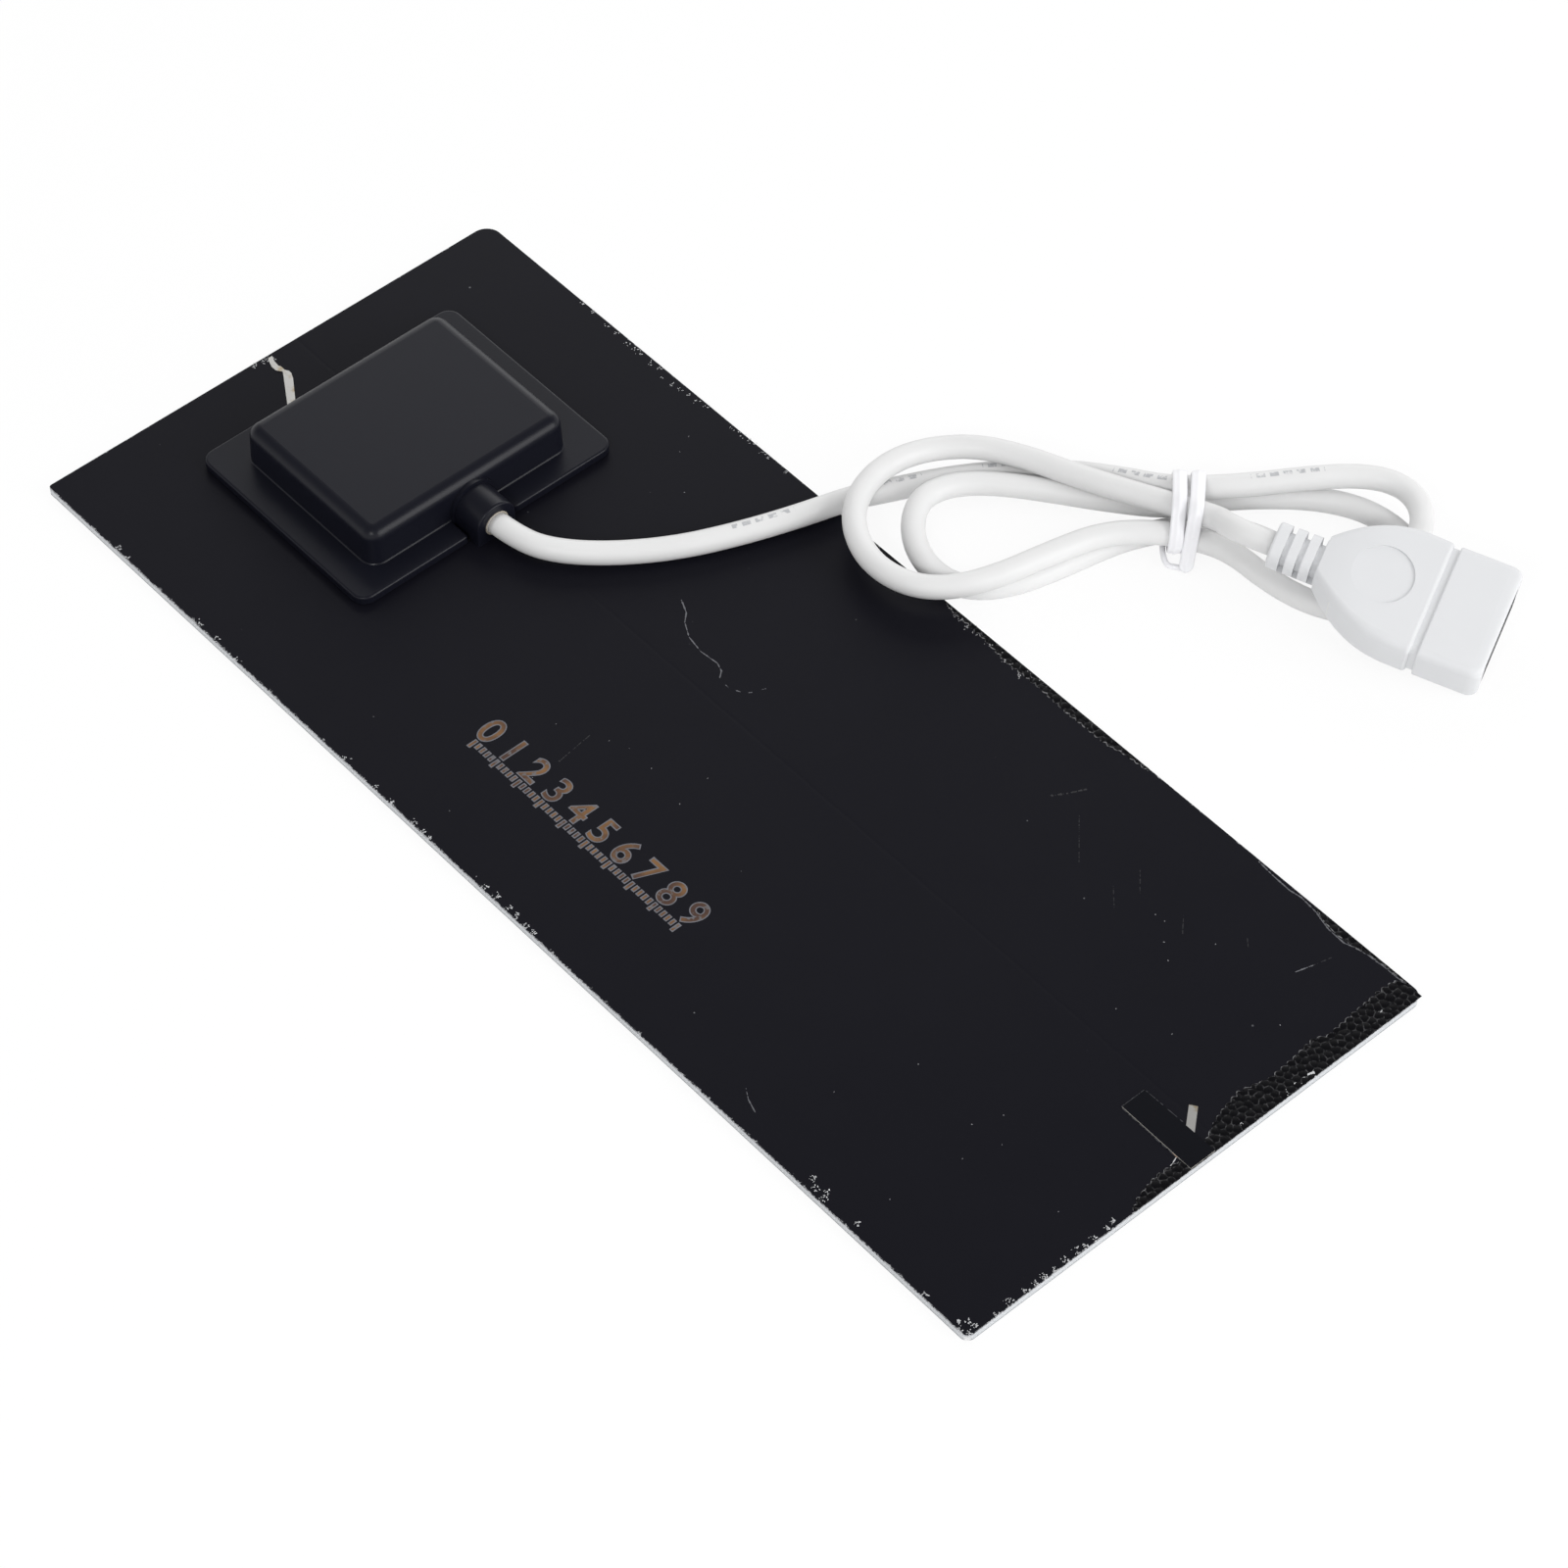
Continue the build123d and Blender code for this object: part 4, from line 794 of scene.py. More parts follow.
def smooth_line(points: Sequence[Vector], steps: int = 12) -> list[Vector]:
    """Draw the smooth line that control points shape.

    Args:
        points: the control points.
        steps: how many steps the line takes for each of them.

    Returns:
        The line's points.
    """
    data = bpy.data.curves.new("line", "CURVE")
    data.dimensions = "3D"
    data.resolution_u = steps
    spline = data.splines.new("NURBS")
    spline.points.add(len(points) - 1)
    for control, point in zip(spline.points, points):
        control.co = (*point, 1.0)
    spline.order_u = 3
    spline.use_endpoint_u = True
    holder = bpy.data.objects.new("line", data)
    mesh = bpy.data.meshes.new_from_object(holder)
    line = [vertex.co.copy() for vertex in mesh.vertices]
    bpy.data.objects.remove(holder)
    bpy.data.meshes.remove(mesh)
    return line


def tube_mesh(name: str, path: Sequence[Vector], radius: float, sides: int = 20) -> bpy.types.Mesh:
    """Return a round tube along a path, with closed ends and a UV map called along.

    Args:
        name: the mesh's name.
        path: the points of its centre line.
        radius: its radius.
        sides: how many faces go round it.

    Returns:
        The mesh. Its UV map holds the turn round the tube from 0 to 1, and the length in
        millimetres.
    """
    tangents = [(path[min(i + 1, len(path) - 1)] - path[max(i - 1, 0)]).normalized()
                for i in range(len(path))]
    across_path = tangents[0].orthogonal().normalized()
    points, lengths, travelled = [], [], 0.0
    for place, (centre, tangent) in enumerate(zip(path, tangents)):
        if place:
            travelled += (centre - path[place - 1]).length
            across_path = tangents[place - 1].rotation_difference(tangent) @ across_path
        lengths.append(travelled / MM)
        upwards = tangent.cross(across_path)
        for side in range(sides):
            turn = 2 * math.pi * side / sides
            points.append(centre
                          + radius * (across_path * math.cos(turn) + upwards * math.sin(turn)))
    last = (len(path) - 1) * sides
    faces = ring_faces(len(path), sides)
    faces += [tuple(reversed(range(sides))), tuple(range(last, last + sides))]
    made = bpy.data.meshes.new(name)
    made.from_pydata(points, [], faces)
    along = made.uv_layers.new(name="along")
    for number, face in enumerate(list(made.polygons)[:-2]):
        closes = number % sides == sides - 1
        for loop in face.loop_indices:
            vertex = made.loops[loop].vertex_index
            turn = vertex % sides
            turn = sides if closes and turn == 0 else turn
            along.data[loop].uv = (turn / sides, lengths[vertex // sides])
    return made


# ------------------------------------------------------- what repeats by rule
class NodeTree:
    """A Geometry Nodes tree with named inputs, run once on a mesh to give a plain mesh."""

    kinds = {int: "NodeSocketInt", float: "NodeSocketFloat",
             bpy.types.Material: "NodeSocketMaterial"}

    def __init__(self, name: str, finish: Finish, inputs: dict[str, int | float]) -> None:
        """Start the tree with a geometry going in and one coming out.

        Args:
            name: the tree's name.
            finish: what its result is made of.
            inputs: the value of each named input.
        """
        self.tree = bpy.data.node_groups.new(name, "GeometryNodeTree")
        self.values: dict[str, object] = {}
        for way in ("INPUT", "OUTPUT"):
            self.tree.interface.new_socket("Geometry", in_out=way,
                                           socket_type="NodeSocketGeometry")
        for label, value in {**inputs, "Material": material_of(finish)}.items():
            socket = self.tree.interface.new_socket(label, in_out="INPUT",
                                                    socket_type=self.kinds[type(value)])
            self.values[socket.identifier] = value

    def given(self) -> bpy.types.NodeOutputs:
        """Return the outputs of the tree's input node."""
        return add_node(self.tree, "NodeGroupInput").outputs

    def finish(self, geometry_out: Source) -> None:
        """End the tree in real geometry with its material.

        Args:
            geometry_out: the geometry to end with.
        """
        real = add_node(self.tree, "GeometryNodeRealizeInstances", {0: geometry_out})
        dressed = add_node(self.tree, "GeometryNodeSetMaterial", {
            "Geometry": real, "Material": self.given()["Material"]})
        add_node(self.tree, "NodeGroupOutput", {0: dressed})

    def run(self, name: str, start: bpy.types.Mesh) -> bpy.types.Mesh:
        """Run the tree and return its result.

        Args:
            name: the new mesh's name.
            start: the mesh that goes in.

        Returns:
            The plain mesh.
        """
        holder = bpy.data.objects.new(name, start)
        bpy.context.scene.collection.objects.link(holder)
        modifier = holder.modifiers.new(name, "NODES")
        modifier.node_group = self.tree
        for identifier, value in self.values.items():
            modifier[identifier] = value
        evaluated = holder.evaluated_get(bpy.context.evaluated_depsgraph_get())
        made = bpy.data.meshes.new_from_object(evaluated)
        made.name = name
        holder.modifiers.clear()
        bpy.data.objects.remove(holder)
        return made


# ---------------------------------------------------------------- the studio
@dataclass(frozen=True)
class Studio:
    """A white table under soft even light, and the camera above it.

    lamps holds, for each lamp, its name, its place and its size in metres, and its watts.
    ceiling_rise holds how far up the sky starts to darken in mirrors, and where it has darkened
    to the ceiling's level. floor_shadow is how much of a shadow the floor keeps.
    """

    place: tuple[float, float, float] = (0.34047, -0.27910, 0.51601)
    forward: tuple[float, float, float] = (-0.48658, 0.41820, -0.76704)
    right: tuple[float, float, float] = (0.65871, 0.75236, -0.00766)
    lens_mm: float = 117.31
    sensor_mm: float = 36.0
    nearest: float = 0.01
    sky_level: float = 0.70
    ceiling_level: float = 0.20
    ceiling_rise: tuple[float, float] = (0.15, 0.75)
    floor_shadow: float = 0.10
    floor_white: float = 0.93
    floor_half: float = 3.0
    floor_drop_mm: float = 0.02
    lamps: tuple[tuple[str, tuple[float, float, float], float, float], ...] = (
        ("window light", (-0.75, 0.75, 0.50), 0.9, 3.3),
        ("side light", (0.92, 0.42, 0.46), 0.7, 6.0),
        ("front light", (0.42, -0.62, 0.66), 0.12, 2.0))

    def build(self) -> None:
        """Set up the camera, the sky, the lamps and the floor.

        The view stays plain, so that white is white.
        """
        self.set_camera()
        self.set_sky()
        for lamp in self.lamps:
            self.hang_lamp(*lamp)
        self.lay_floor()
        bpy.context.scene.view_settings.view_transform = "Standard"

    def set_camera(self) -> None:
        """Place the camera and make it the scene's.

        Its upward direction is squared to forward and right.
        """
        data = bpy.data.cameras.new("camera")
        data.lens = self.lens_mm
        data.sensor_width = self.sensor_mm
        data.clip_start = self.nearest
        camera = bpy.data.objects.new("camera", data)
        forward = Vector(self.forward).normalized()
        upward = Vector(self.right).cross(forward).normalized()
        right = forward.cross(upward)
        turned = Matrix((right, upward, -forward)).transposed()
        camera.matrix_world = Matrix.Translation(self.place) @ turned.to_4x4()
        bpy.context.scene.collection.objects.link(camera)
        bpy.context.scene.camera = camera

    def set_sky(self) -> None:
        """Light everything evenly, mirror a darker ceiling, and show white behind the object.

        A dark ceiling keeps flat black faces black, while upright ones mirror the bright walls.
        """
        world = bpy.data.worlds.new("soft box")
        world.use_nodes = True
        tree = world.node_tree
        tree.nodes.clear()
        rays = add_node(tree, "ShaderNodeLightPath").outputs
        coords = add_node(tree, "ShaderNodeTexCoord").outputs["Generated"]
        rise = add_node(tree, "ShaderNodeSeparateXYZ", {0: coords}).outputs["Z"]
        mirrored = add_node(tree, "ShaderNodeMapRange", {
            "Value": rise, "From Min": self.ceiling_rise[0], "From Max": self.ceiling_rise[1],
            "To Min": 1.0, "To Max": self.ceiling_level}, interpolation_type="SMOOTHSTEP")
        level = add_node(tree, "ShaderNodeMix", {
            "Factor": rays["Is Glossy Ray"], 2: self.sky_level, 3: mirrored}, data_type="FLOAT")
        seen = add_node(tree, "ShaderNodeMath", {
            0: rays["Is Camera Ray"], 1: rays["Is Transmission Ray"]}, operation="MAXIMUM")
        shown = add_node(tree, "ShaderNodeMix", {"Factor": seen, 2: level, 3: 1.0},
                         data_type="FLOAT")
        glow = add_node(tree, "ShaderNodeBackground", {"Color": (1, 1, 1, 1), "Strength": shown})
        add_node(tree, "ShaderNodeOutputWorld", {"Surface": glow})
        bpy.context.scene.world = world

    def hang_lamp(self, name: str, place: tuple[float, float, float], size: float,
                  watts: float) -> None:
        """Hang one square lamp that faces the sheet.

        Args:
            name: the lamp's name.
            place: where it hangs, in metres.
            size: how long its side is, in metres.
            watts: how strong it is.
        """
        data = bpy.data.lights.new(name, "AREA")
        data.size = size
        data.energy = watts
        lamp = bpy.data.objects.new(name, data)
        lamp.location = place
        lamp.rotation_euler = (-Vector(place)).to_track_quat("-Z", "Y").to_euler()
        bpy.context.scene.collection.objects.link(lamp)

    def lay_floor(self) -> None:
        """Lay a white floor that keeps a soft shadow.

        The eye and mirrors see it glow white, apart from the share that shows its shading.
        """
        half, low = self.floor_half, -self.floor_drop_mm * MM
        mesh = mesh_from("floor", [(-half, -half, low), (half, -half, low), (half, half, low),
                                   (-half, half, low)], [(0, 1, 2, 3)])
        floor = bpy.data.objects.new("floor", mesh)
        bpy.context.scene.collection.objects.link(floor)
        made = bpy.data.materials.new("white paper")
        made.use_nodes = True
        tree = made.node_tree
        tree.nodes.clear()
        rays = add_node(tree, "ShaderNodeLightPath").outputs
        mirrored = add_node(tree, "ShaderNodeMath", {
            0: rays["Is Glossy Ray"], 1: rays["Is Transmission Ray"]}, operation="MAXIMUM")
        seen = add_node(tree, "ShaderNodeMath", {0: rays["Is Camera Ray"], 1: mirrored},
                        operation="MAXIMUM")
        share = add_node(tree, "ShaderNodeMath", {0: seen, 1: 1 - self.floor_shadow},
                         operation="MULTIPLY")
        paper = add_node(tree, "ShaderNodeBsdfDiffuse", {
            "Color": (self.floor_white, self.floor_white, self.floor_white, 1)})
        glow = add_node(tree, "ShaderNodeEmission", {"Color": (1, 1, 1, 1), "Strength": 1.0})
        mixed = add_node(tree, "ShaderNodeMixShader", {0: share, 1: paper, 2: glow})
        add_node(tree, "ShaderNodeOutputMaterial", {"Surface": mixed})
        mesh.materials.append(made)


# ------------------------------------------------------------------ the cord
@dataclass(frozen=True)
class HankFrame:
    """The hank's own frame: x along it, t across it, z up, with the tie at its origin."""

    origin_mm: tuple[float, float] = (16.0, 73.1)
    heading_degrees: float = 48.5

    def place(self, x: float, t: float, z: float) -> Vector:
        """Turn a place of the hank's own into one of the frame.

        Args:
            x: how far along the hank it is, in millimetres.
            t: how far across it, in millimetres.
            z: its height, in millimetres.

        Returns:
            The place, in metres.
        """
        turn = math.radians(self.heading_degrees)
        return Vector((self.origin_mm[0] + x * math.cos(turn) - t * math.sin(turn),
                       self.origin_mm[1] + x * math.sin(turn) + t * math.cos(turn), z)) * MM

    def own(self, place: Vector) -> tuple[float, float, float]:
        """Turn a place in the frame into the hank's own.

        Args:
            place: the place, in metres.

        Returns:
            Its x, t and z, in millimetres.
        """
        turn = math.radians(self.heading_degrees)
        east = place.x / MM - self.origin_mm[0]
        north = place.y / MM - self.origin_mm[1]
        return (east * math.cos(turn) + north * math.sin(turn),
                north * math.cos(turn) - east * math.sin(turn), place.z / MM)


@dataclass(frozen=True)
class Bight:
    """One open loop of the hank, from its start round to its end.

    The loop reaches out along the hank and comes back; skew, shear and lean make it as uneven as
    a loop of soft cord that was folded by hand.
    """

    start: tuple[float, float]
    end: tuple[float, float]
    reach: float
    width: float
    skew: float
    shear: float
    lean: float
    heights: tuple[float, ...]
    steps: int = 16

    def points(self) -> list[tuple[float, float, float]]:
        """Draw the loop.

        Returns:
            Its points, from start to end, as (x, t, z) in the hank's own frame.
        """
        made = []
        side = math.copysign(1, self.reach)
        for step in range(self.steps + 1):
            part = step / self.steps
            angle = 2 * math.pi * part
            bulge = math.sin(angle / 2)
            x = (self.start[0] + (self.end[0] - self.start[0]) * part + self.reach * bulge
                 + side * self.shear * math.sin(angle))
            t = (self.start[1] + (self.end[1] - self.start[1]) * part + self.skew * bulge ** 2
                 + self.width * math.sin(angle) * math.sqrt(abs(bulge))
                 + self.lean * math.sin(2 * angle))
            made.append((x, t, self.height(part)))
        return made

    def height(self, part: float) -> float:
        """Find the height of the centre line.

        Args:
            part: how far round the loop, from 0 to 1.

        Returns:
            The height, in millimetres.
        """
        place = part * (len(self.heights) - 1)
        low = min(int(place), len(self.heights) - 2)
        return self.heights[low] + (self.heights[low + 1] - self.heights[low]) * (place - low)


@dataclass(frozen=True)
class Cord:
    """The white lead, whole: out of the gland, five strands of hank, and into the socket.

    lead is in the frame, in millimetres; the rest is in the hank's own. The three passes run
    under the tie from one loop to the next.
    """

    diameter_mm: float = 3.4
    length_mm: float = 468.0
    sides: int = 24
    hank: HankFrame = HankFrame()
    lead: tuple[tuple[float, float, float], ...] = (
        (-45.5, 1.5, 3.75), (-40.5, 1.95, 3.75), (-35.9, 4.7, 3.45), (-31.0, 10.1, 3.1),
        (-26.2, 17.3, 2.98), (-22.6, 25.2, 2.98), (-19.6, 33.6, 2.98), (-17.4, 41.4, 2.98))
    under_loop: tuple[tuple[float, float, float], ...] = (
        (-41.0, 6.2, 2.0), (-33.0, 8.7, 1.75), (-24.5, 10.0, 1.75), (-16.0, 9.2, 2.6),
        (-8.5, 5.9, 4.6), (-3.0, 3.1, 5.9))
    right_outer: Bight = Bight((3.0, 3.0), (4.0, -0.6), 27.8, 7.6, -5.8, 3.2, 0.0,
                               (5.9, 5.5, 5.1, 4.7, 4.8, 5.4, 3.9, 2.1, 2.1))
    left_inner: Bight = Bight((-3.0, 2.6), (-4.0, -1.5), -33.7, 9.0, -6.1, 3.2, 0.1,
                              (2.5, 2.9, 3.6, 4.3, 3.2, 2.1, 1.7, 1.7, 2.0))
    right_inner: Bight = Bight((4.0, 4.2), (4.0, -4.7), 25.4, 6.1, -13.9, 5.7, 1.1,
                               (2.3, 1.8, 1.8, 1.8, 1.8, 1.8, 1.8, 1.8, 2.6))
    left_outer: Bight = Bight((-8.0, 1.7), (-12.0, -4.8), -35.7, 13.6, 0.2, -0.4, 2.3,
                              (6.4, 5.5, 4.9, 5.9, 6.0, 5.1, 5.0, 5.2, 5.1))
    first_pass: tuple[tuple[float, float, float], ...] = ((0.0, -1.1, 2.4),)
    second_pass: tuple[tuple[float, float, float], ...] = ((0.5, 3.35, 2.55),)
    third_pass: tuple[tuple[float, float, float], ...] = ((0.0, -4.3, 3.8), (-5.0, -4.2, 4.9))
    to_neck: tuple[tuple[float, float, float], ...] = ((-2.5, -0.9, 6.8), (3.7, -4.0, 7.4),
                                                       (4.74, -7.02, 9.3))

    def route(self, neck: Vector, neck_run: Vector) -> list[Vector]:
        """Return the cord's control points, from the gland to the socket's neck.

        Args:
            neck: where the cord goes into the socket's strain relief.
            neck_run: from there, the last straight run of the cord.

        Returns:
            The points, in metres.
        """
        hank_points = [*self.under_loop, *self.right_outer.points(), *self.first_pass,
                       *reversed(self.left_inner.points()), *self.second_pass,
                       *self.right_inner.points(), *self.third_pass,
                       *reversed(self.left_outer.points()), *self.to_neck]
        return ([Vector(point) * MM for point in self.lead]
                + [self.hank.place(*point) for point in hank_points] + [neck + neck_run, neck])

    def build(self, neck: Vector, neck_run: Vector, on_it: Sequence[str]) -> bpy.types.Mesh:
        """Args:
            neck: where the cord goes into the socket's strain relief.
            neck_run: from there, the last straight run of the cord.
            on_it: the nodes that hang on the cord; not used.

        Returns:
            The cord's mesh.
        """
        line = smooth_line(self.route(neck, neck_run))
        mesh = tube_mesh("cord", line, self.diameter_mm / 2 * MM, self.sides)
        piece = new_piece("cord", mesh, CORD)
        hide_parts("cord_lead", "cord_hank", "cord_tail")
        return mesh


@dataclass(frozen=True)
class TwistTie:
    """The white tie: two turns of flat vinyl-covered wire round the hank, and its twisted end.

    turns holds, for each turn, its x where it crosses the hank's middle, and how far its plane
    leans along the hank for each millimetre across it; lean is the direction that counts for that.
    ridge is the wire's bulge under the vinyl, as (along, part of ridge_mm outwards). The last
    tip_part of the flat end is rounded off.
    """

    turns: tuple[tuple[float, float], ...] = ((-1.815, 0.0874), (0.30, 0.1475))
    lean: tuple[float, float] = (0.767, 0.6416)
    width_mm: float = 2.05
    thickness_mm: float = 0.62
    ridge_mm: float = 0.14
    ridge: tuple[tuple[float, float], ...] = (
        (-0.36, 0.0), (-0.2, 0.8), (0.0, 1.0), (0.2, 0.8), (0.36, 0.0))
    clearance_mm: float = 0.07
    lowest_mm: float = 0.02
    tip_part: float = 0.18
    tip_least: float = 0.02
    steps: int = 96
    flat_end: tuple[tuple[float, float], ...] = (
        (-5.95, 5.6), (-6.35, 4.2), (-6.65, 2.9), (-6.95, 1.8), (-7.25, 1.0), (-7.85, 0.55))
    wire_loop: tuple[tuple[float, float, float], ...] = (
        (-3.1, -1.6, 1.2), (-3.62, -3.39, 1.5), (-3.45, -5.6, 1.1), (-2.9, -6.75, 0.7),
        (-1.77, -6.85, 0.62), (-1.12, -7.1, 0.62), (-0.6, -7.3, 0.62))
    wire_mm: float = 0.40
    hank: HankFrame = HankFrame()

    def crossing(self, turn: tuple[float, float], t: float, z: float) -> float:
        """Return the x of a turn's plane at a place across the hank."""
        return turn[0] + turn[1] * (self.lean[0] * t + self.lean[1] * z)

    def girth(self, cord: bpy.types.Mesh, turn: tuple[float, float]) -> list[Vector]:
        """Return the closed line of one turn, drawn taut round the strands under it.

        Args:
            cord: the cord's mesh.
            turn: the turn.

        Returns:
            Evenly spaced points as (t, z), anticlockwise.
        """
        under = []
        for vertex in cord.vertices:
            x, t, z = self.hank.own(vertex.co)
            if abs(x - self.crossing(turn, t, z)) < self.width_mm / 2:
                under.append(Vector((t, z)))
        corners = [under[index] for index in geometry.convex_hull_2d(under)]
        lengths = [0.0]
        for first, second in zip(corners, corners[1:] + corners[:1]):
            lengths.append(lengths[-1] + (second - first).length)
        line = []
        for step in range(self.steps):
            wanted = lengths[-1] * step / self.steps
            place = max(i for i, length in enumerate(lengths[:-1]) if length <= wanted)
            start, stop = corners[place], corners[(place + 1) % len(corners)]
            span = max(lengths[place + 1] - lengths[place], TINY)
            line.append(start.lerp(stop, (wanted - lengths[place]) / span))
        return [(line[i - 2] + line[i - 1] + line[i] + line[(i + 1) % self.steps]
                 + line[(i + 2) % self.steps]) / 5 for i in range(self.steps)]

    def section(self) -> list[tuple[float, float]]:
        """Draw the tie's rounded section.

        Returns:
            Its points, in millimetres, as (along the hank, outwards).
        """
        half, edge = self.width_mm / 2, self.thickness_mm / 2
        quarters = [math.pi * step / 4 for step in (-2, -1, 0, 1, 2)]
        left = [(-half + edge * (1 - math.cos(turn)), edge + edge * math.sin(turn))
                for turn in quarters]
        ridge = [(x, self.thickness_mm + self.ridge_mm * part) for x, part in self.ridge]
        return left + ridge + [(-x, out) for x, out in reversed(left)]

    def turn_mesh(self, cord: bpy.types.Mesh, turn: tuple[float, float]) -> bpy.types.Mesh:
        """Draw one turn of the tie, taut round the strands.

        Args:
            cord: the cord's mesh.
            turn: the turn.

        Returns:
            The turn's mesh.
        """
        line = self.girth(cord, turn)
        section = self.section()
        points = []
        for place, middle in enumerate(line):
            run = line[(place + 1) % self.steps] - line[place - 1]
            outward = Vector((run.y, -run.x)).normalized()
            for along, out in section:
                t, z = middle + outward * (out + self.clearance_mm)
                x = self.crossing(turn, t, z) + along
                points.append(self.hank.place(x, t, max(z, self.lowest_mm)))
        return mesh_from("tie_turn", points, ring_faces(self.steps, len(section), closed=True))

    def flat_end_mesh(self) -> bpy.types.Mesh:
        """Draw the tie's flat end, from the right turn's front down to its rounded tip.

        Returns:
            The flat end's mesh.
        """
        turn = self.turns[1]
        line = smooth_line([Vector((0, *point)) for point in self.flat_end])
        count = len(line)
        points = []
        for place, middle in enumerate(line):
            run = line[min(place + 1, count - 1)] - line[max(place - 1, 0)]
            outward = Vector((run.z, -run.y)).normalized()
            beyond = max(0.0, (place / (count - 1) - 1 + self.tip_part) / self.tip_part)
            shrink = math.sqrt(max(1 - beyond ** 2, self.tip_least))
            for along, out in self.section():
                t = middle.y + outward.x * (out - self.thickness_mm / 2)
                z = middle.z + outward.y * (out - self.thickness_mm / 2)
                x = self.crossing(turn, middle.y, middle.z) + along * shrink
                points.append(self.hank.place(x, t, max(z, self.lowest_mm)))
        ring = len(self.section())
        ends = [tuple(range(ring)), tuple(range((count - 1) * ring, count * ring))]
        return mesh_from("tie_flat_end", points, ring_faces(count, ring) + ends)

    def build(self, cord: bpy.types.Mesh) -> None:
        """Make both turns, the flat end and the twisted wire.

        Args:
            cord: the cord's mesh, which the turns are drawn round.
        """
        wire = smooth_line([self.hank.place(*point) for point in self.wire_loop])
        parts = [self.turn_mesh(cord, turn) for turn in self.turns]
        parts += [self.flat_end_mesh(), tube_mesh("tie_wire", wire, self.wire_mm * MM, 12)]
        piece = new_piece("tie", joined("tie", parts), TIE)
        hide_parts("cable_tie")


# ---------------------------------------------------------- the CAD's pieces
class CadDresser:
    """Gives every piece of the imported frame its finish."""

    def build(self) -> None:
        """Put the finish of each node in its object's material slots.

        Every piece of the frame has one finish.
        """
        for finish, nodes in NODE_FINISHES.items():
            for node in nodes:
                piece = frame["nodes"][node]
                for place in piece.material_slots:
                    place.material = material_of(finish)
                LOG.info("%s: %s", node, finish.name)


@dataclass(frozen=True)
class SocketPlace:
    """Where the USB socket lies: its front's centre, and how it is turned."""

    front_mm: tuple[float, float, float] = (60.33, 87.84, 5.32)
    yaw_degrees: float = 26.2
    pitch_degrees: float = 7.2
    roll_degrees: float = 14.6
    relief_end_mm: float = 32.6
    relief_offset_mm: float = 0.4
    neck_run_mm: float = 4.0

    def turned(self) -> Matrix:
        """Turn the socket about its own axes: yaw, then pitch, then roll.

        Returns:
            The rotation.
        """
        made = Matrix.Identity(3)
        for axis, degrees in zip("ZYX", (self.yaw_degrees, self.pitch_degrees, self.roll_degrees)):
            made = made @ Matrix.Rotation(math.radians(degrees), 3, axis)
        return made

    def place(self, x: float, y: float, z: float) -> Vector:
        """Return a place in the frame, in metres, from the socket's own millimetres."""
        return (Vector(self.front_mm) + self.turned() @ Vector((x, y, z))) * MM

    def neck(self) -> Vector:
        """Return where the cord goes into the strain relief."""
        return self.place(-self.relief_end_mm, self.relief_offset_mm, 0.0)

    def neck_run(self) -> Vector:
        """Return the cord's last straight run, from the neck backwards."""
        return self.turned() @ Vector((-self.neck_run_mm * MM, 0, 0))


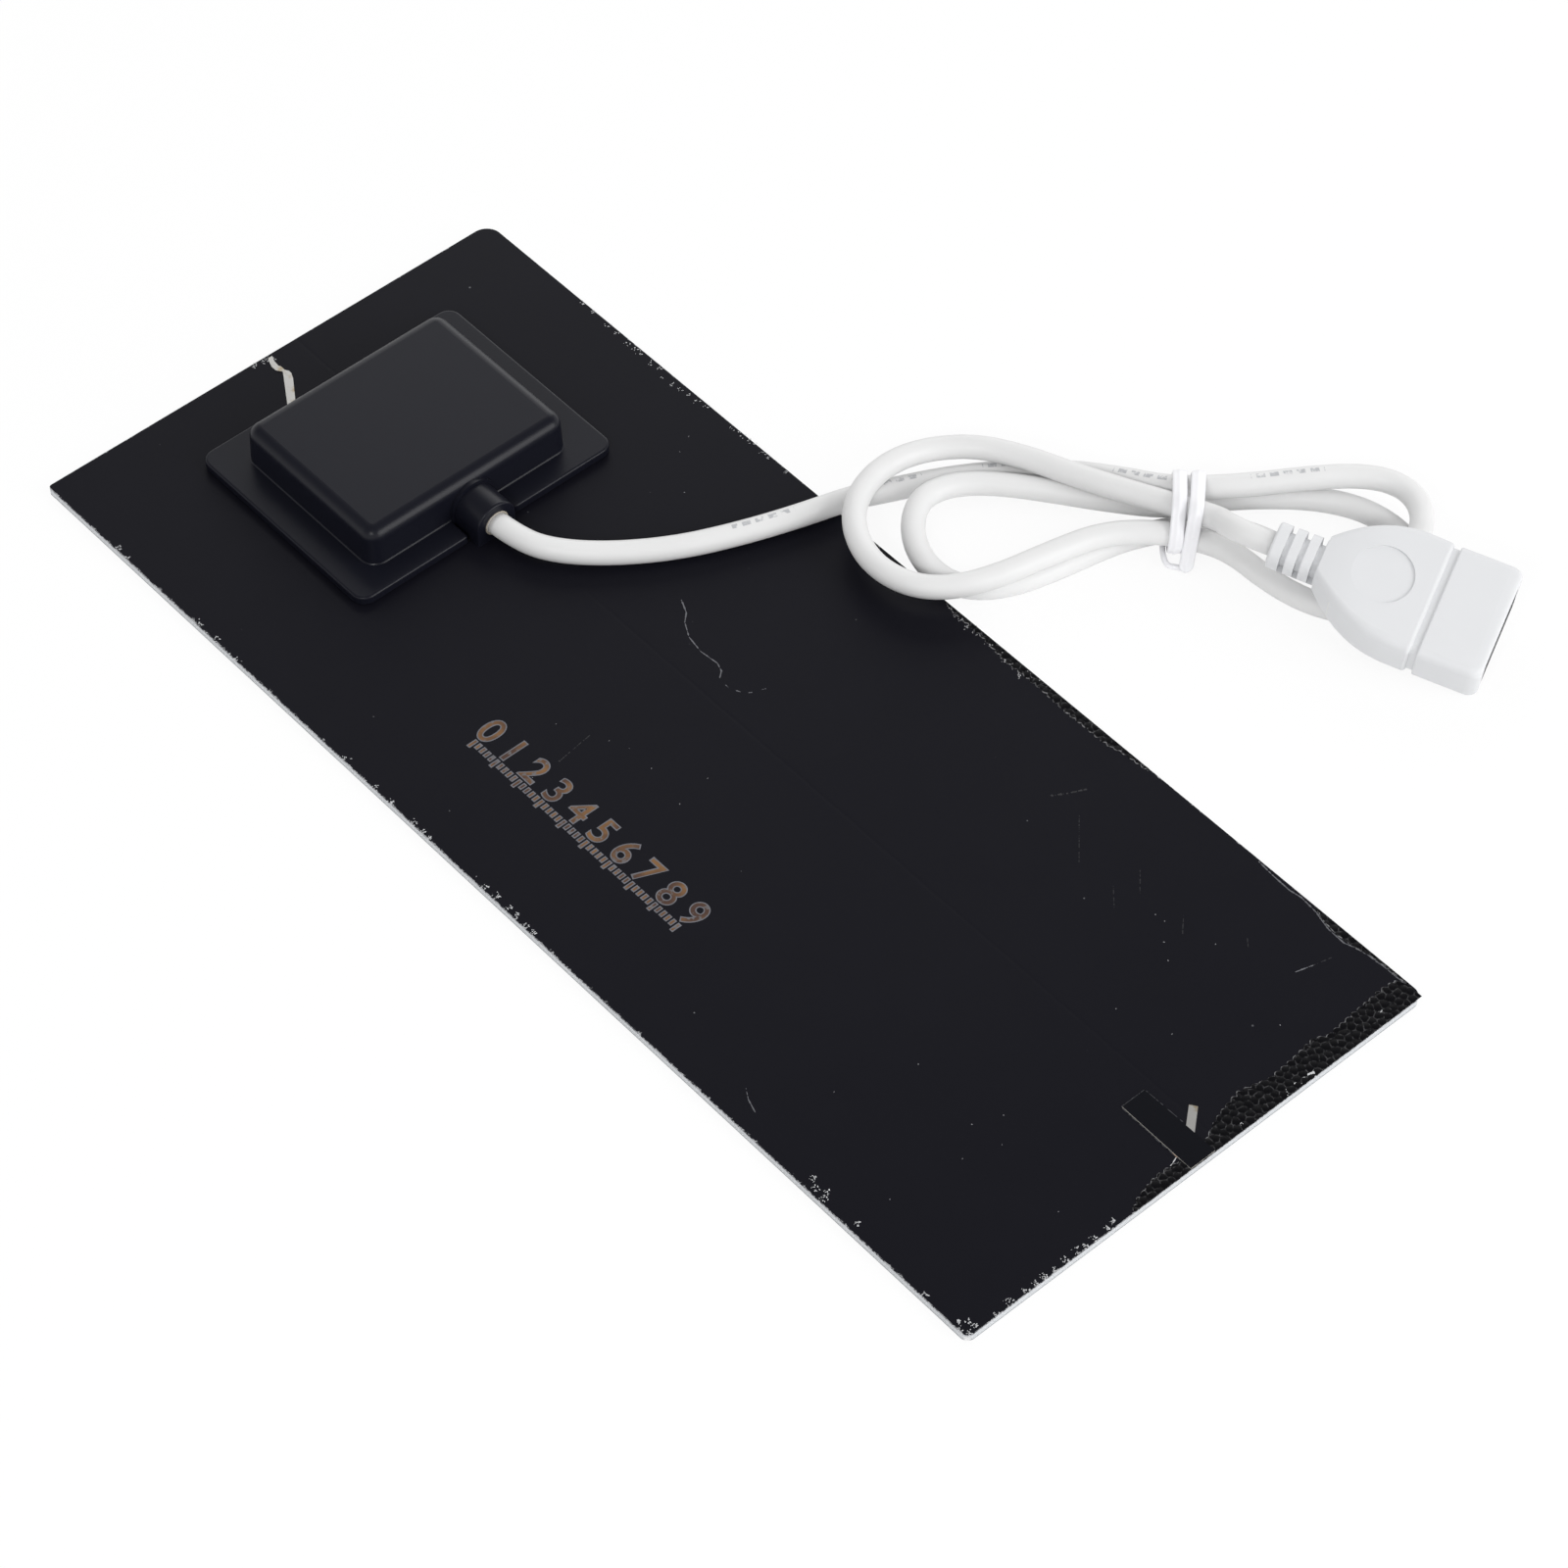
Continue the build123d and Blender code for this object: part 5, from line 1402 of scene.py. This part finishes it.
# -------------------------------------------------------- wear on the sheet
@dataclass(frozen=True)
class BlisterBand:
    """A strip along one cut edge where the black film has lifted in small bubbles.

    depths holds (place along the edge, depth inwards from it), in millimetres. The band's inner
    border is scalloped, and shows as a thin pale line. The bubbles lie in rows, as close as they
    pack, and dome_part is a dome's radius as a part of their pitch. Where two bubbles meet, their
    rim line gets a painted grey highlight.
    """

    name: str
    side: Side
    depths: tuple[tuple[float, float], ...]
    scallop_mm: float = 0.35
    uneven_mm: float = 3.1
    bubble_mm: float = 1.15
    row_pitch: float = 0.866
    unevenness: float = 0.55
    dome_part: float = 0.58
    skin_mm: float = 0.02
    rise_mm: float = 0.09
    rim_part: float = 0.12
    rim_level: float = 0.30
    border_mm: float = 0.11
    border_level: float = 0.9
    inset_mm: float = 0.03
    grid_mm: float = 0.10

    def depth(self, along: float) -> float:
        """Find how far in the band reaches.

        Args:
            along: the place along the edge, in millimetres.

        Returns:
            The depth inwards from the edge, in millimetres.
        """
        for (start, first), (stop, second) in zip(self.depths, self.depths[1:]):
            if start <= along <= stop:
                plain = first + (second - first) * (along - start) / (stop - start)
                wave = abs(math.sin(math.pi * along / self.bubble_mm))
                uneven = noise.noise(Vector((along / self.uneven_mm, 0, 0)))
                return plain + self.scallop_mm * (wave - 0.5) * (1 + uneven)
        return 0.0

    def to_frame(self, along: float, depth: float) -> tuple[float, float]:
        """Turn a place in the band into one of the frame.

        Args:
            along: the place along the edge, in millimetres.
            depth: how far in from the edge it is, in millimetres.

        Returns:
            Its x and y, in millimetres.
        """
        axis, sign = self.side.value
        edge = sign * (SHEET_HIGH[axis] - SHEET_LOW[axis]) / 2 / MM
        inwards = edge - sign * depth
        return (inwards, along) if axis == 0 else (along, inwards)

    def relief(self, x: float, y: float) -> tuple[float, float]:
        """Find how a place lies among the bubbles.

        Args:
            x: the place's x, in millimetres.
            y: its y, in millimetres.

        Returns:
            How high it is on its bubble, and how near to the rim between two: each from 0 to 1.
        """
        across_rows = x / (self.row_pitch * self.bubble_mm)
        along_row = y / self.bubble_mm
        gaps = []
        for row in range(round(across_rows) - 1, round(across_rows) + 2):
            shift = row % 2 / 2
            for column in range(round(along_row - shift) - 1, round(along_row - shift) + 2):
                moved = noise.cell_vector(Vector((row + 0.5, column + 0.5, 0.5)))
                gaps.append(math.hypot(
                    self.row_pitch * (across_rows - row) - self.unevenness * (moved.x - 0.5),
                    along_row - column - shift - self.unevenness * (moved.y - 0.5)))
        nearest, second = sorted(gaps)[:2]
        dome = max(0.0, 1 - (nearest / self.dome_part) ** 2)
        rim = max(0.0, 1 - (second - nearest) / self.rim_part)
        return dome, rim

    def build(self) -> None:
        """Make the band as a thin bubbled skin, whose outline lies on the film.

        The attribute rim says how pale each point is: the strength of the painted highlight on the
        bubbles' rim lines, and the thin pale border line.
        """
        start, stop = self.depths[0][0], self.depths[-1][0]
        columns = round((stop - start) / self.grid_mm)
        rows = 2 + round(max(depth for _, depth in self.depths) / self.grid_mm)
        points, rim_highlight_and_border = [], []
        for column in range(columns + 1):
            along = start + (stop - start) * column / columns
            reach = max(self.depth(along), 2 * self.inset_mm)
            for row in range(rows + 1):
                depth = self.inset_mm + (reach - self.inset_mm) * row / rows
                x, y = self.to_frame(along, depth)
                dome, rim = self.relief(x, y)
                low = row in (0, rows) or column in (0, columns)
                height = 0.0 if low else self.skin_mm + self.rise_mm * dome
                points.append((x * MM, y * MM, SHEET_TOP + height * MM))
                # The border is drawn as a thin pale line; the bubbles' rim lines get a fainter
                # painted grey highlight.
                border = reach - depth < self.border_mm
                rim_highlight_and_border.append(self.border_level if border else rim * self.rim_level)
        step = rows + 1
        mesh = mesh_from(self.name, points, [
            (place, place + step, place + step + 1, place + 1)
            for place in range(columns * step) if place % step < rows])
        if mesh.polygons[0].normal.z < 0:
            mesh.flip_normals()
        give_values(mesh, "rim", rim_highlight_and_border)
        new_piece(self.name, mesh, BLISTER)


@dataclass(frozen=True)
class Scuffs:
    """Scratches and tears of one finish: low ragged ridges along paths on the film's face.

    paths holds, for each, its width and its (x, y) points, in millimetres. gaps is the part of a
    path where the ridge is broken off. fade is the noise between which it goes from nothing to
    its full width, and layers that noise's finer layers and their strength.
    """

    name: str
    finish: Finish
    slot: str
    paths: tuple[tuple[float, tuple[tuple[float, float], ...]], ...]
    gaps: float = 0.25
    ragged_mm: float = 0.45
    step_mm: float = 0.12
    flatness: float = 0.16
    fade: tuple[float, float] = (0.3, 0.7)
    layers: tuple[float, float] = (3.0, 0.7)
    sides: int = 6

    def lines(self) -> bpy.types.Mesh:
        """Draw the paths, cut fine.

        Returns:
            A mesh of edges, with each path's width as an attribute.
        """
        points, edges, widths = [], [], []
        for width, path in self.paths:
            corners = [Vector((x, y, 0)) for x, y in path]
            for number, (start, stop) in enumerate(zip(corners, corners[1:])):
                steps = max(1, round((stop - start).length / self.step_mm))
                for step in range(0 if number == 0 else 1, steps + 1):
                    if number or step:
                        edges.append((len(points) - 1, len(points)))
                    place = start.lerp(stop, step / steps) * MM
                    points.append((place.x, place.y, SHEET_TOP))
                    widths.append(width * MM)
        made = bpy.data.meshes.new(self.name)
        made.from_pydata(points, edges, [])
        give_values(made, "width", widths)
        return made

    def rule(self) -> NodeTree:
        """Break the lines up where noise is low, and raise a ragged ridge along the rest.

        Returns:
            The tree.
        """
        made = NodeTree("ragged ridges", self.finish, {
            "Raggedness": across(self.ragged_mm), "Gaps": self.gaps, "Flatness": self.flatness,
            "Sides": self.sides})
        tree, given = made.tree, made.given()
        ragged = add_node(tree, "ShaderNodeTexNoise", {
            "Scale": given["Raggedness"], "Detail": self.layers[0],
            "Roughness": self.layers[1]})
        level = add_node(tree, "ShaderNodeMapRange", {
            "Value": ragged, "From Min": self.fade[0], "From Max": self.fade[1]})
        broken = add_node(tree, "FunctionNodeCompare", {0: level, 1: given["Gaps"]},
                          data_type="FLOAT", operation="LESS_THAN")
        kept = add_node(tree, "GeometryNodeDeleteGeometry", {
            "Geometry": given["Geometry"], "Selection": broken}, domain="EDGE")
        width = add_node(tree, "GeometryNodeInputNamedAttribute", {"Name": "width"},
                         data_type="FLOAT")
        radius = add_node(tree, "ShaderNodeMath", {0: width, 1: level}, operation="MULTIPLY")
        curves = add_node(tree, "GeometryNodeMeshToCurve", {0: kept})
        upright = add_node(tree, "GeometryNodeSetCurveNormal", {0: curves}, mode="Z_UP")
        circle = add_node(tree, "GeometryNodeCurvePrimitiveCircle", {
            "Resolution": given["Sides"], "Radius": 0.5}, mode="RADIUS")
        squash = add_node(tree, "ShaderNodeCombineXYZ", {0: 1.0, 1: given["Flatness"], 2: 1.0})
        section = add_node(tree, "GeometryNodeTransform", {"Geometry": circle, "Scale": squash})
        ridges = add_node(tree, "GeometryNodeCurveToMesh", {
            "Curve": upright, "Profile Curve": section, "Scale": radius, "Fill Caps": True})
        made.finish(ridges)
        return made

    def build(self) -> None:
        """Make the ridges as one piece."""
        new_piece(self.name, self.rule().run(self.name, self.lines()), self.finish)


@dataclass(frozen=True)
class TornBits:
    """Clusters of tiny torn bits of board and film, or single grains of dust.

    places holds (x, y, spread) of each cluster, in millimetres. A bit measures between smallest
    and largest times size_mm, is tilted up to tilt and turned up to spin, in radians, and lies up
    to lift times its cluster's spread above the film.
    """

    name: str
    finish: Finish
    slot: str
    places: tuple[tuple[float, float, float], ...]
    amount: int = 12
    size_mm: float = 0.26
    smallest: tuple[float, float, float] = (0.45, 0.25, 0.25)
    largest: tuple[float, float, float] = (1.3, 0.6, 0.40)
    tilt: float = 0.3
    spin: float = 3.1
    lift: float = 0.03
    unevenness_mm: float = 0.14
    ragged_mm: float = 0.2
    seed: int = 7

    def starts(self) -> bpy.types.Mesh:
        """Place the clusters.

        Returns:
            A mesh of their middles, with each one's spread as an attribute.
        """
        made = bpy.data.meshes.new(self.name)
        made.from_pydata([(x * MM, y * MM, SHEET_TOP) for x, y, _ in self.places], [], [])
        give_values(made, "spread", [spread * MM for _, _, spread in self.places])
        return made

    def rule(self) -> NodeTree:
        """Scatter uneven bits round every point.

        Returns:
            The tree.
        """
        made = NodeTree("torn bits", self.finish, {
            "Amount": self.amount, "Size": self.size_mm * MM,
            "Unevenness": self.unevenness_mm * MM, "Seed": self.seed})
        tree, given = made.tree, made.given()
        spread = add_node(tree, "GeometryNodeInputNamedAttribute", {"Name": "spread"},
                          data_type="FLOAT")
        copies = add_node(tree, "GeometryNodeDuplicateElements", {
            "Geometry": given["Geometry"], "Amount": given["Amount"]}, domain="POINT")
        way, turn, shape = (
            add_node(tree, "FunctionNodeRandomValue", {0: least, 1: most, "Seed": given["Seed"]},
                     data_type="FLOAT_VECTOR")
            for least, most in (((-1.0, -1.0, 0.0), (1.0, 1.0, self.lift)),
                                ((-self.tilt, -self.tilt, -self.spin),
                                 (self.tilt, self.tilt, self.spin)),
                                (self.smallest, self.largest)))
        offset = add_node(tree, "ShaderNodeVectorMath", {0: way, "Scale": spread},
                          operation="SCALE")
        strewn = add_node(tree, "GeometryNodeSetPosition", {
            "Geometry": copies, "Offset": offset})
        size = add_node(tree, "ShaderNodeVectorMath", {0: shape, "Scale": given["Size"]},
                        operation="SCALE")
        grain = add_node(tree, "GeometryNodeMeshIcoSphere", {"Radius": 0.5, "Subdivisions": 2})
        placed = add_node(tree, "GeometryNodeInstanceOnPoints", {
            "Points": strewn, "Instance": grain, "Rotation": turn, "Scale": size})
        real = add_node(tree, "GeometryNodeRealizeInstances", {0: placed})
        ragged = add_node(tree, "ShaderNodeTexNoise", {
            "Scale": across(self.ragged_mm), "Detail": 1.0})
        centred = add_node(tree, "ShaderNodeVectorMath", {
            0: ragged.outputs["Color"], 1: (0.5, 0.5, 0.5)}, operation="SUBTRACT")
        moved = add_node(tree, "ShaderNodeVectorMath", {
            0: centred, "Scale": given["Unevenness"]}, operation="SCALE")
        uneven = add_node(tree, "GeometryNodeSetPosition", {"Geometry": real, "Offset": moved})
        made.finish(uneven)
        return made

    def build(self) -> None:
        """Make the bits as one piece."""
        new_piece(self.name, self.rule().run(self.name, self.starts()), self.finish,
                  smooth=False)


@dataclass(frozen=True)
class GraduatedScale:
    """A generic printed scale on the film: plain digits over a row of ticks, in gold foil.

    digit_mm is a digit's height, and font_ratio the font's size over it.
    """

    first_mm: tuple[float, float] = (-18.7, -23.4)
    pitch_mm: float = 4.6
    digit_mm: float = 4.2
    font_ratio: float = 1.42
    digits: int = 10
    rim_mm: float = 0.17
    foil_mm: float = 0.02
    rim_part: float = 0.6
    ticks_per_digit: int = 5
    tick_mm: float = 0.30
    long_tick_mm: float = 1.3
    short_tick_mm: float = 0.8
    tick_top_mm: float = -24.0

    def digit(self, number: int, growth: float, height: float) -> bpy.types.Mesh:
        """Draw one digit in its place.

        Args:
            number: the digit.
            growth: how much its outline is grown, in millimetres.
            height: its top above the film, in millimetres.

        Returns:
            The mesh.
        """
        data = bpy.data.curves.new("digit", "FONT")
        data.body = str(number)
        data.size = self.digit_mm * self.font_ratio
        data.offset = growth
        data.extrude = height / 2
        data.resolution_u = 6
        holder = bpy.data.objects.new("digit", data)
        made = bpy.data.meshes.new_from_object(holder)
        bpy.data.objects.remove(holder)
        spans = [vertex.co.x for vertex in made.vertices]
        middle = (min(spans) + max(spans)) / 2
        east = self.first_mm[0] + number * self.pitch_mm
        made.transform(Matrix.Translation((0, 0, SHEET_TOP)) @ Matrix.Scale(MM, 4)
                       @ Matrix.Translation((east - middle, self.first_mm[1], height / 2)))
        return made

    def ticks(self, name: str, growth: float, height: float) -> bpy.types.Mesh:
        """Draw the row of ticks.

        Args:
            name: the mesh's name.
            growth: how much each tick is grown, in millimetres.
            height: their top above the film, in millimetres.

        Returns:
            The mesh.
        """
        made = NodeTree("scale ticks", FOIL, {
            "Count": (self.digits - 1) * self.ticks_per_digit + 1,
            "Pitch": self.pitch_mm / self.ticks_per_digit * MM,
            "Width": (self.tick_mm + 2 * growth) * MM,
            "Long": (self.long_tick_mm + 2 * growth) * MM,
            "Short": (self.short_tick_mm + 2 * growth) * MM,
            "Height": height * MM, "Ticks per digit": float(self.ticks_per_digit)})
        tree, given = made.tree, made.given()
        step = add_node(tree, "ShaderNodeCombineXYZ", {0: given["Pitch"]})
        row = add_node(tree, "GeometryNodeMeshLine", {
            "Count": given["Count"], "Offset": step,
            "Start Location": (self.first_mm[0] * MM, (self.tick_top_mm + growth) * MM,
                               SHEET_TOP)}, mode="OFFSET")
        index = add_node(tree, "GeometryNodeInputIndex")
        phase = add_node(tree, "ShaderNodeMath", {0: index, 1: given["Ticks per digit"]},
                         operation="MODULO")
        between = add_node(tree, "ShaderNodeMath", {0: phase, 1: 0.5}, operation="GREATER_THAN")
        length = add_node(tree, "ShaderNodeMix", {
            "Factor": between, 2: given["Long"], 3: given["Short"]}, data_type="FLOAT")
        block = add_node(tree, "GeometryNodeMeshCube", {"Size": (1.0, 1.0, 1.0)})
        hung = add_node(tree, "GeometryNodeTransform", {
            "Geometry": block, "Translation": (0.0, -0.5, 0.5)})
        size = add_node(tree, "ShaderNodeCombineXYZ", {
            0: given["Width"], 1: length, 2: given["Height"]})
        placed = add_node(tree, "GeometryNodeInstanceOnPoints", {
            "Points": row, "Instance": hung, "Scale": size})
        made.finish(placed)
        return made.run(name, bpy.data.meshes.new(name))

    def build(self) -> None:
        """Print the dull rim, and the gold on it.

        The rim is wider than the gold and a little lower, so only its border shows.
        """
        layers = (("scale_rim", FOIL_RIM, self.rim_mm, self.foil_mm * self.rim_part),
                  ("scale_gold", FOIL, 0.0, self.foil_mm))
        for name, finish, growth, height in layers:
            parts = [self.digit(number, growth, height) for number in range(self.digits)]
            parts.append(self.ticks(f"{name}_ticks", growth, height))
            new_piece(name, joined(name, parts), finish, smooth=False)


BLISTER_BANDS = (
    BlisterBand("blisters_far_end", Side.FAR_END, (
        (-11.3, 0.4), (-9.6, 1.3), (-7.5, 1.9), (-5.6, 2.2), (-3.7, 2.1), (-1.5, 1.9), (0.6, 1.5),
        (2.7, 2.0), (5.3, 3.3), (8.2, 4.2), (11.1, 4.7), (13.4, 4.2), (15.5, 3.6), (17.3, 3.7),
        (19.9, 3.9), (23.9, 4.4), (25.8, 3.5), (30.4, 3.9), (34.9, 4.2), (38.2, 4.1), (39.0, 2.5))),
    BlisterBand("blisters_cord_side", Side.CORD_SIDE, (
        (4.0, 0.3), (6.1, 0.6), (12.0, 0.8), (17.5, 1.4), (24.0, 1.2), (30.0, 1.5), (37.3, 1.3),
        (39.9, 0.7), (44.0, 0.4)), scallop_mm=0.3),
    BlisterBand("blisters_corner", Side.CORD_SIDE, (
        (75.0, 0.3), (76.9, 1.0), (79.8, 1.35), (82.4, 1.2), (84.7, 0.6), (87.9, 0.35),
        (91.5, 0.4)), scallop_mm=0.1),
)

TORN_BITS = (
    TornBits("edge_flakes", CHIPPED, "board_white", (
        (-78.3, -38.9, 0.5), (-76.1, -39.0, 0.4), (-59.8, -38.9, 0.6), (-56.1, -39.0, 0.5),
        (-51.5, -39.0, 0.4), (-27.9, -38.9, 0.6), (-21.2, -38.9, 0.5), (-18.1, -39.0, 0.4),
        (-13.2, -38.9, 0.6), (-11.3, -39.0, 0.4), (-9.9, -39.0, 0.3), (1.3, -38.8, 0.4),
        (3.3, -38.6, 0.5), (6.0, -38.5, 0.4), (7.6, -38.7, 0.5), (9.8, -38.9, 0.4),
        (11.2, -38.9, 0.4), (64.0, -37.4, 0.5), (65.3, -38.2, 0.6), (66.7, -37.5, 0.4),
        (67.2, -38.6, 0.5), (72.7, -37.9, 0.4), (86.0, -39.0, 0.5), (91.5, -38.3, 0.3),
        (92.3, -37.5, 0.4), (93.3, -37.3, 0.4), (92.6, -39.0, 0.5), (93.6, -38.5, 0.4),
        (93.6, -34.2, 0.4), (93.5, -31.7, 0.6), (93.4, -29.2, 0.5), (93.6, -27.6, 0.4),
        (93.5, -26.2, 0.5), (93.6, -24.6, 0.4), (93.5, -22.8, 0.6), (93.4, -20.5, 0.5),
        (93.6, -19.3, 0.4), (93.5, -17.7, 0.5), (93.4, -15.5, 0.3), (93.1, -14.3, 0.4),
        (93.5, 15.6, 0.5), (93.4, 17.3, 0.5), (93.3, 18.7, 0.4), (93.5, 20.1, 0.5),
        (-93.4, -2.0, 0.5), (-93.2, -1.2, 0.6), (-93.7, -3.7, 0.5))),
    TornBits("edge_specks", CHIPPED, "black_film", (
        (-72.7, 38.8, 0.5), (-70.2, 38.9, 0.4), (-66.8, 38.8, 0.6), (-64.7, 38.8, 0.4),
        (-62.1, 38.7, 0.6), (-60.6, 38.7, 0.5), (-59.2, 38.6, 0.5), (-56.9, 38.5, 0.5),
        (-55.3, 38.5, 0.4), (-53.2, 38.3, 0.6), (-51.7, 38.1, 0.5), (-50.3, 38.5, 0.6),
        (-48.5, 38.6, 0.4), (-47.0, 38.4, 0.5), (-44.9, 38.8, 0.6), (-39.5, 39.0, 0.5),
        (-38.1, 38.9, 0.5), (-36.8, 38.9, 0.6), (-35.4, 39.0, 0.5), (-33.0, 39.0, 0.6),
        (-32.0, 39.0, 0.4), (-28.3, 38.9, 0.3), (5.6, 38.8, 0.4), (6.8, 38.6, 0.5),
        (8.0, 38.6, 0.5), (9.4, 38.0, 0.4), (9.8, 38.8, 0.5), (11.1, 38.4, 0.5),
        (12.1, 38.7, 0.4), (13.6, 38.4, 0.6), (15.0, 38.7, 0.4), (15.8, 38.5, 0.4),
        (17.4, 37.8, 0.3), (18.0, 38.5, 0.5), (19.1, 38.2, 0.6), (20.5, 37.5, 0.4),
        (21.1, 38.6, 0.4), (22.3, 38.6, 0.5), (23.3, 38.8, 0.4), (90.6, 23.2, 0.2),
        (93.1, 7.9, 0.3), (90.9, 30.2, 0.3), (92.2, 33.4, 0.3)), amount=5, size_mm=0.26),
    TornBits("dust", DUST, "black_film", (
        (69.7, 8.6, 0.0), (63.6, 23.0, 0.0), (66.0, 20.6, 0.0), (68.5, 18.9, 0.0),
        (62.0, 22.9, 0.0), (70.6, 25.3, 0.0), (85.3, 22.3, 0.0), (77.3, 11.1, 0.0),
        (59.6, -16.0, 0.0), (55.8, -26.8, 0.0), (75.7, -16.6, 0.0), (74.0, -21.7, 0.0),
        (72.5, -13.4, 0.0), (70.9, -17.3, 0.0), (87.7, -18.3, 0.0), (-14.0, -14.2, 0.0),
        (6.5, -5.3, 0.0), (-4.3, -9.7, 0.0), (0.3, -9.7, 0.0), (7.4, -10.9, 0.0),
        (21.3, -12.3, 0.0), (-7.1, -10.8, 0.0), (-8.9, -22.4, 0.0), (-11.7, -34.2, 0.0),
        (-0.8, -38.5, 0.0), (-42.4, 33.2, 0.0), (-41.0, 30.4, 0.0), (-34.7, 25.9, 0.0),
        (72.7, -32.6, 0.2)), amount=1, size_mm=0.19),
)

SCUFFS = (
    Scuffs("scratches", SCRATCH, "black_film", (
        (0.30, ((-19.8, 12.6), (-17.6, 11.6), (-16.4, 10.3), (-14.0, 9.0), (-11.0, 8.5),
                (-7.9, 8.8), (-6.5, 8.3), (-5.7, 7.3))),
        (0.24, ((-4.4, 7.1), (-3.6, 7.1))), (0.24, ((-2.6, 7.5), (-2.0, 7.8))),
        (0.22, ((-1.2, 8.5), (-0.9, 8.9))), (0.20, ((-0.4, 10.2), (-0.2, 10.7))),
        (0.24, ((48.1, -34.7), (49.6, -35.6), (51.8, -36.3))),
        (0.32, ((64.4, 39.0), (67.6, 38.7), (70.6, 38.6), (72.5, 38.9), (75.5, 38.6),
                (76.9, 38.2), (78.5, 37.8), (81.4, 37.7), (82.4, 38.1), (84.7, 38.6),
                (87.9, 38.8), (91.0, 38.8))),
        (0.26, ((80.5, 29.5), (81.3, 32.2))))),
    Scuffs("faint_scratches", FAINT_SCRATCH, "black_film", (
        (0.26, ((-8.7, -18.1), (-9.2, -14.6), (-9.5, -12.1))),
        (0.20, ((81.3, 32.2), (82.1, 35.3))), (0.20, ((55.4, 26.5), (58.2, 23.8))),
        (0.18, ((55.0, 22.1), (57.7, 19.7))), (0.20, ((43.5, 26.9), (49.2, 21.5))),
        (0.45, ((38.6, 26.4), (39.7, 28.2), (41.0, 30.8))), (0.18, ((64.3, 25.7), (66.6, 23.3))),
        (0.20, ((72.5, 29.1), (73.8, 28.0)))), gaps=0.42),
    Scuffs("tape_edge", TAPE_EDGE, "black_tape", (
        (0.24, ((81.5, -1.6), (86.0, -1.65), (91.2, -1.75))),
        (0.24, ((81.3, -1.5), (81.3, 0.5), (81.3, 2.4))),
        (0.18, ((81.5, 2.5), (85.0, 2.55), (88.0, 2.6)))), gaps=0.36),
    Scuffs("torn_film", CHIPPED, "board_white", (
        (0.70, ((93.3, 15.0), (93.4, 16.5), (93.1, 17.3), (93.4, 18.3), (93.0, 18.9),
                (93.4, 20.3))),
        (0.40, ((91.8, -1.5), (92.6, -1.4), (93.4, -1.6))),
        (0.35, ((91.4, -1.8), (91.9, -3.2)))), gaps=0.05, flatness=0.3),
    Scuffs("stained_tear", TORN_ORANGE, "board_white", (
        (0.45, ((89.9, -1.35), (91.0, -1.65), (91.6, -1.5))),), gaps=0.0, flatness=0.3),
)


def main() -> None:
    """Build every sub-assembly in order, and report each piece.

    The cord's mesh comes before the tie, which is drawn taut round it.
    """
    logging.basicConfig(level=logging.INFO, format="%(name)s %(message)s")
    Studio().build()
    socket = SocketPlace()
    plug_pieces = [node for node in frame["record"]["physics"]["cord_nodes"]
                   if node not in ("cord_lead", "cord_hank", "cord_tail", "cable_tie")]
    cord = Cord().build(socket.neck(), socket.neck_run(), plug_pieces)
    TwistTie().build(cord)
    CadDresser().build()
    for band in BLISTER_BANDS:
        band.build()
    for bits in TORN_BITS:
        bits.build()
    for scuffs in SCUFFS:
        scuffs.build()
    GraduatedScale().build()


if __name__ == "__main__":
    main()
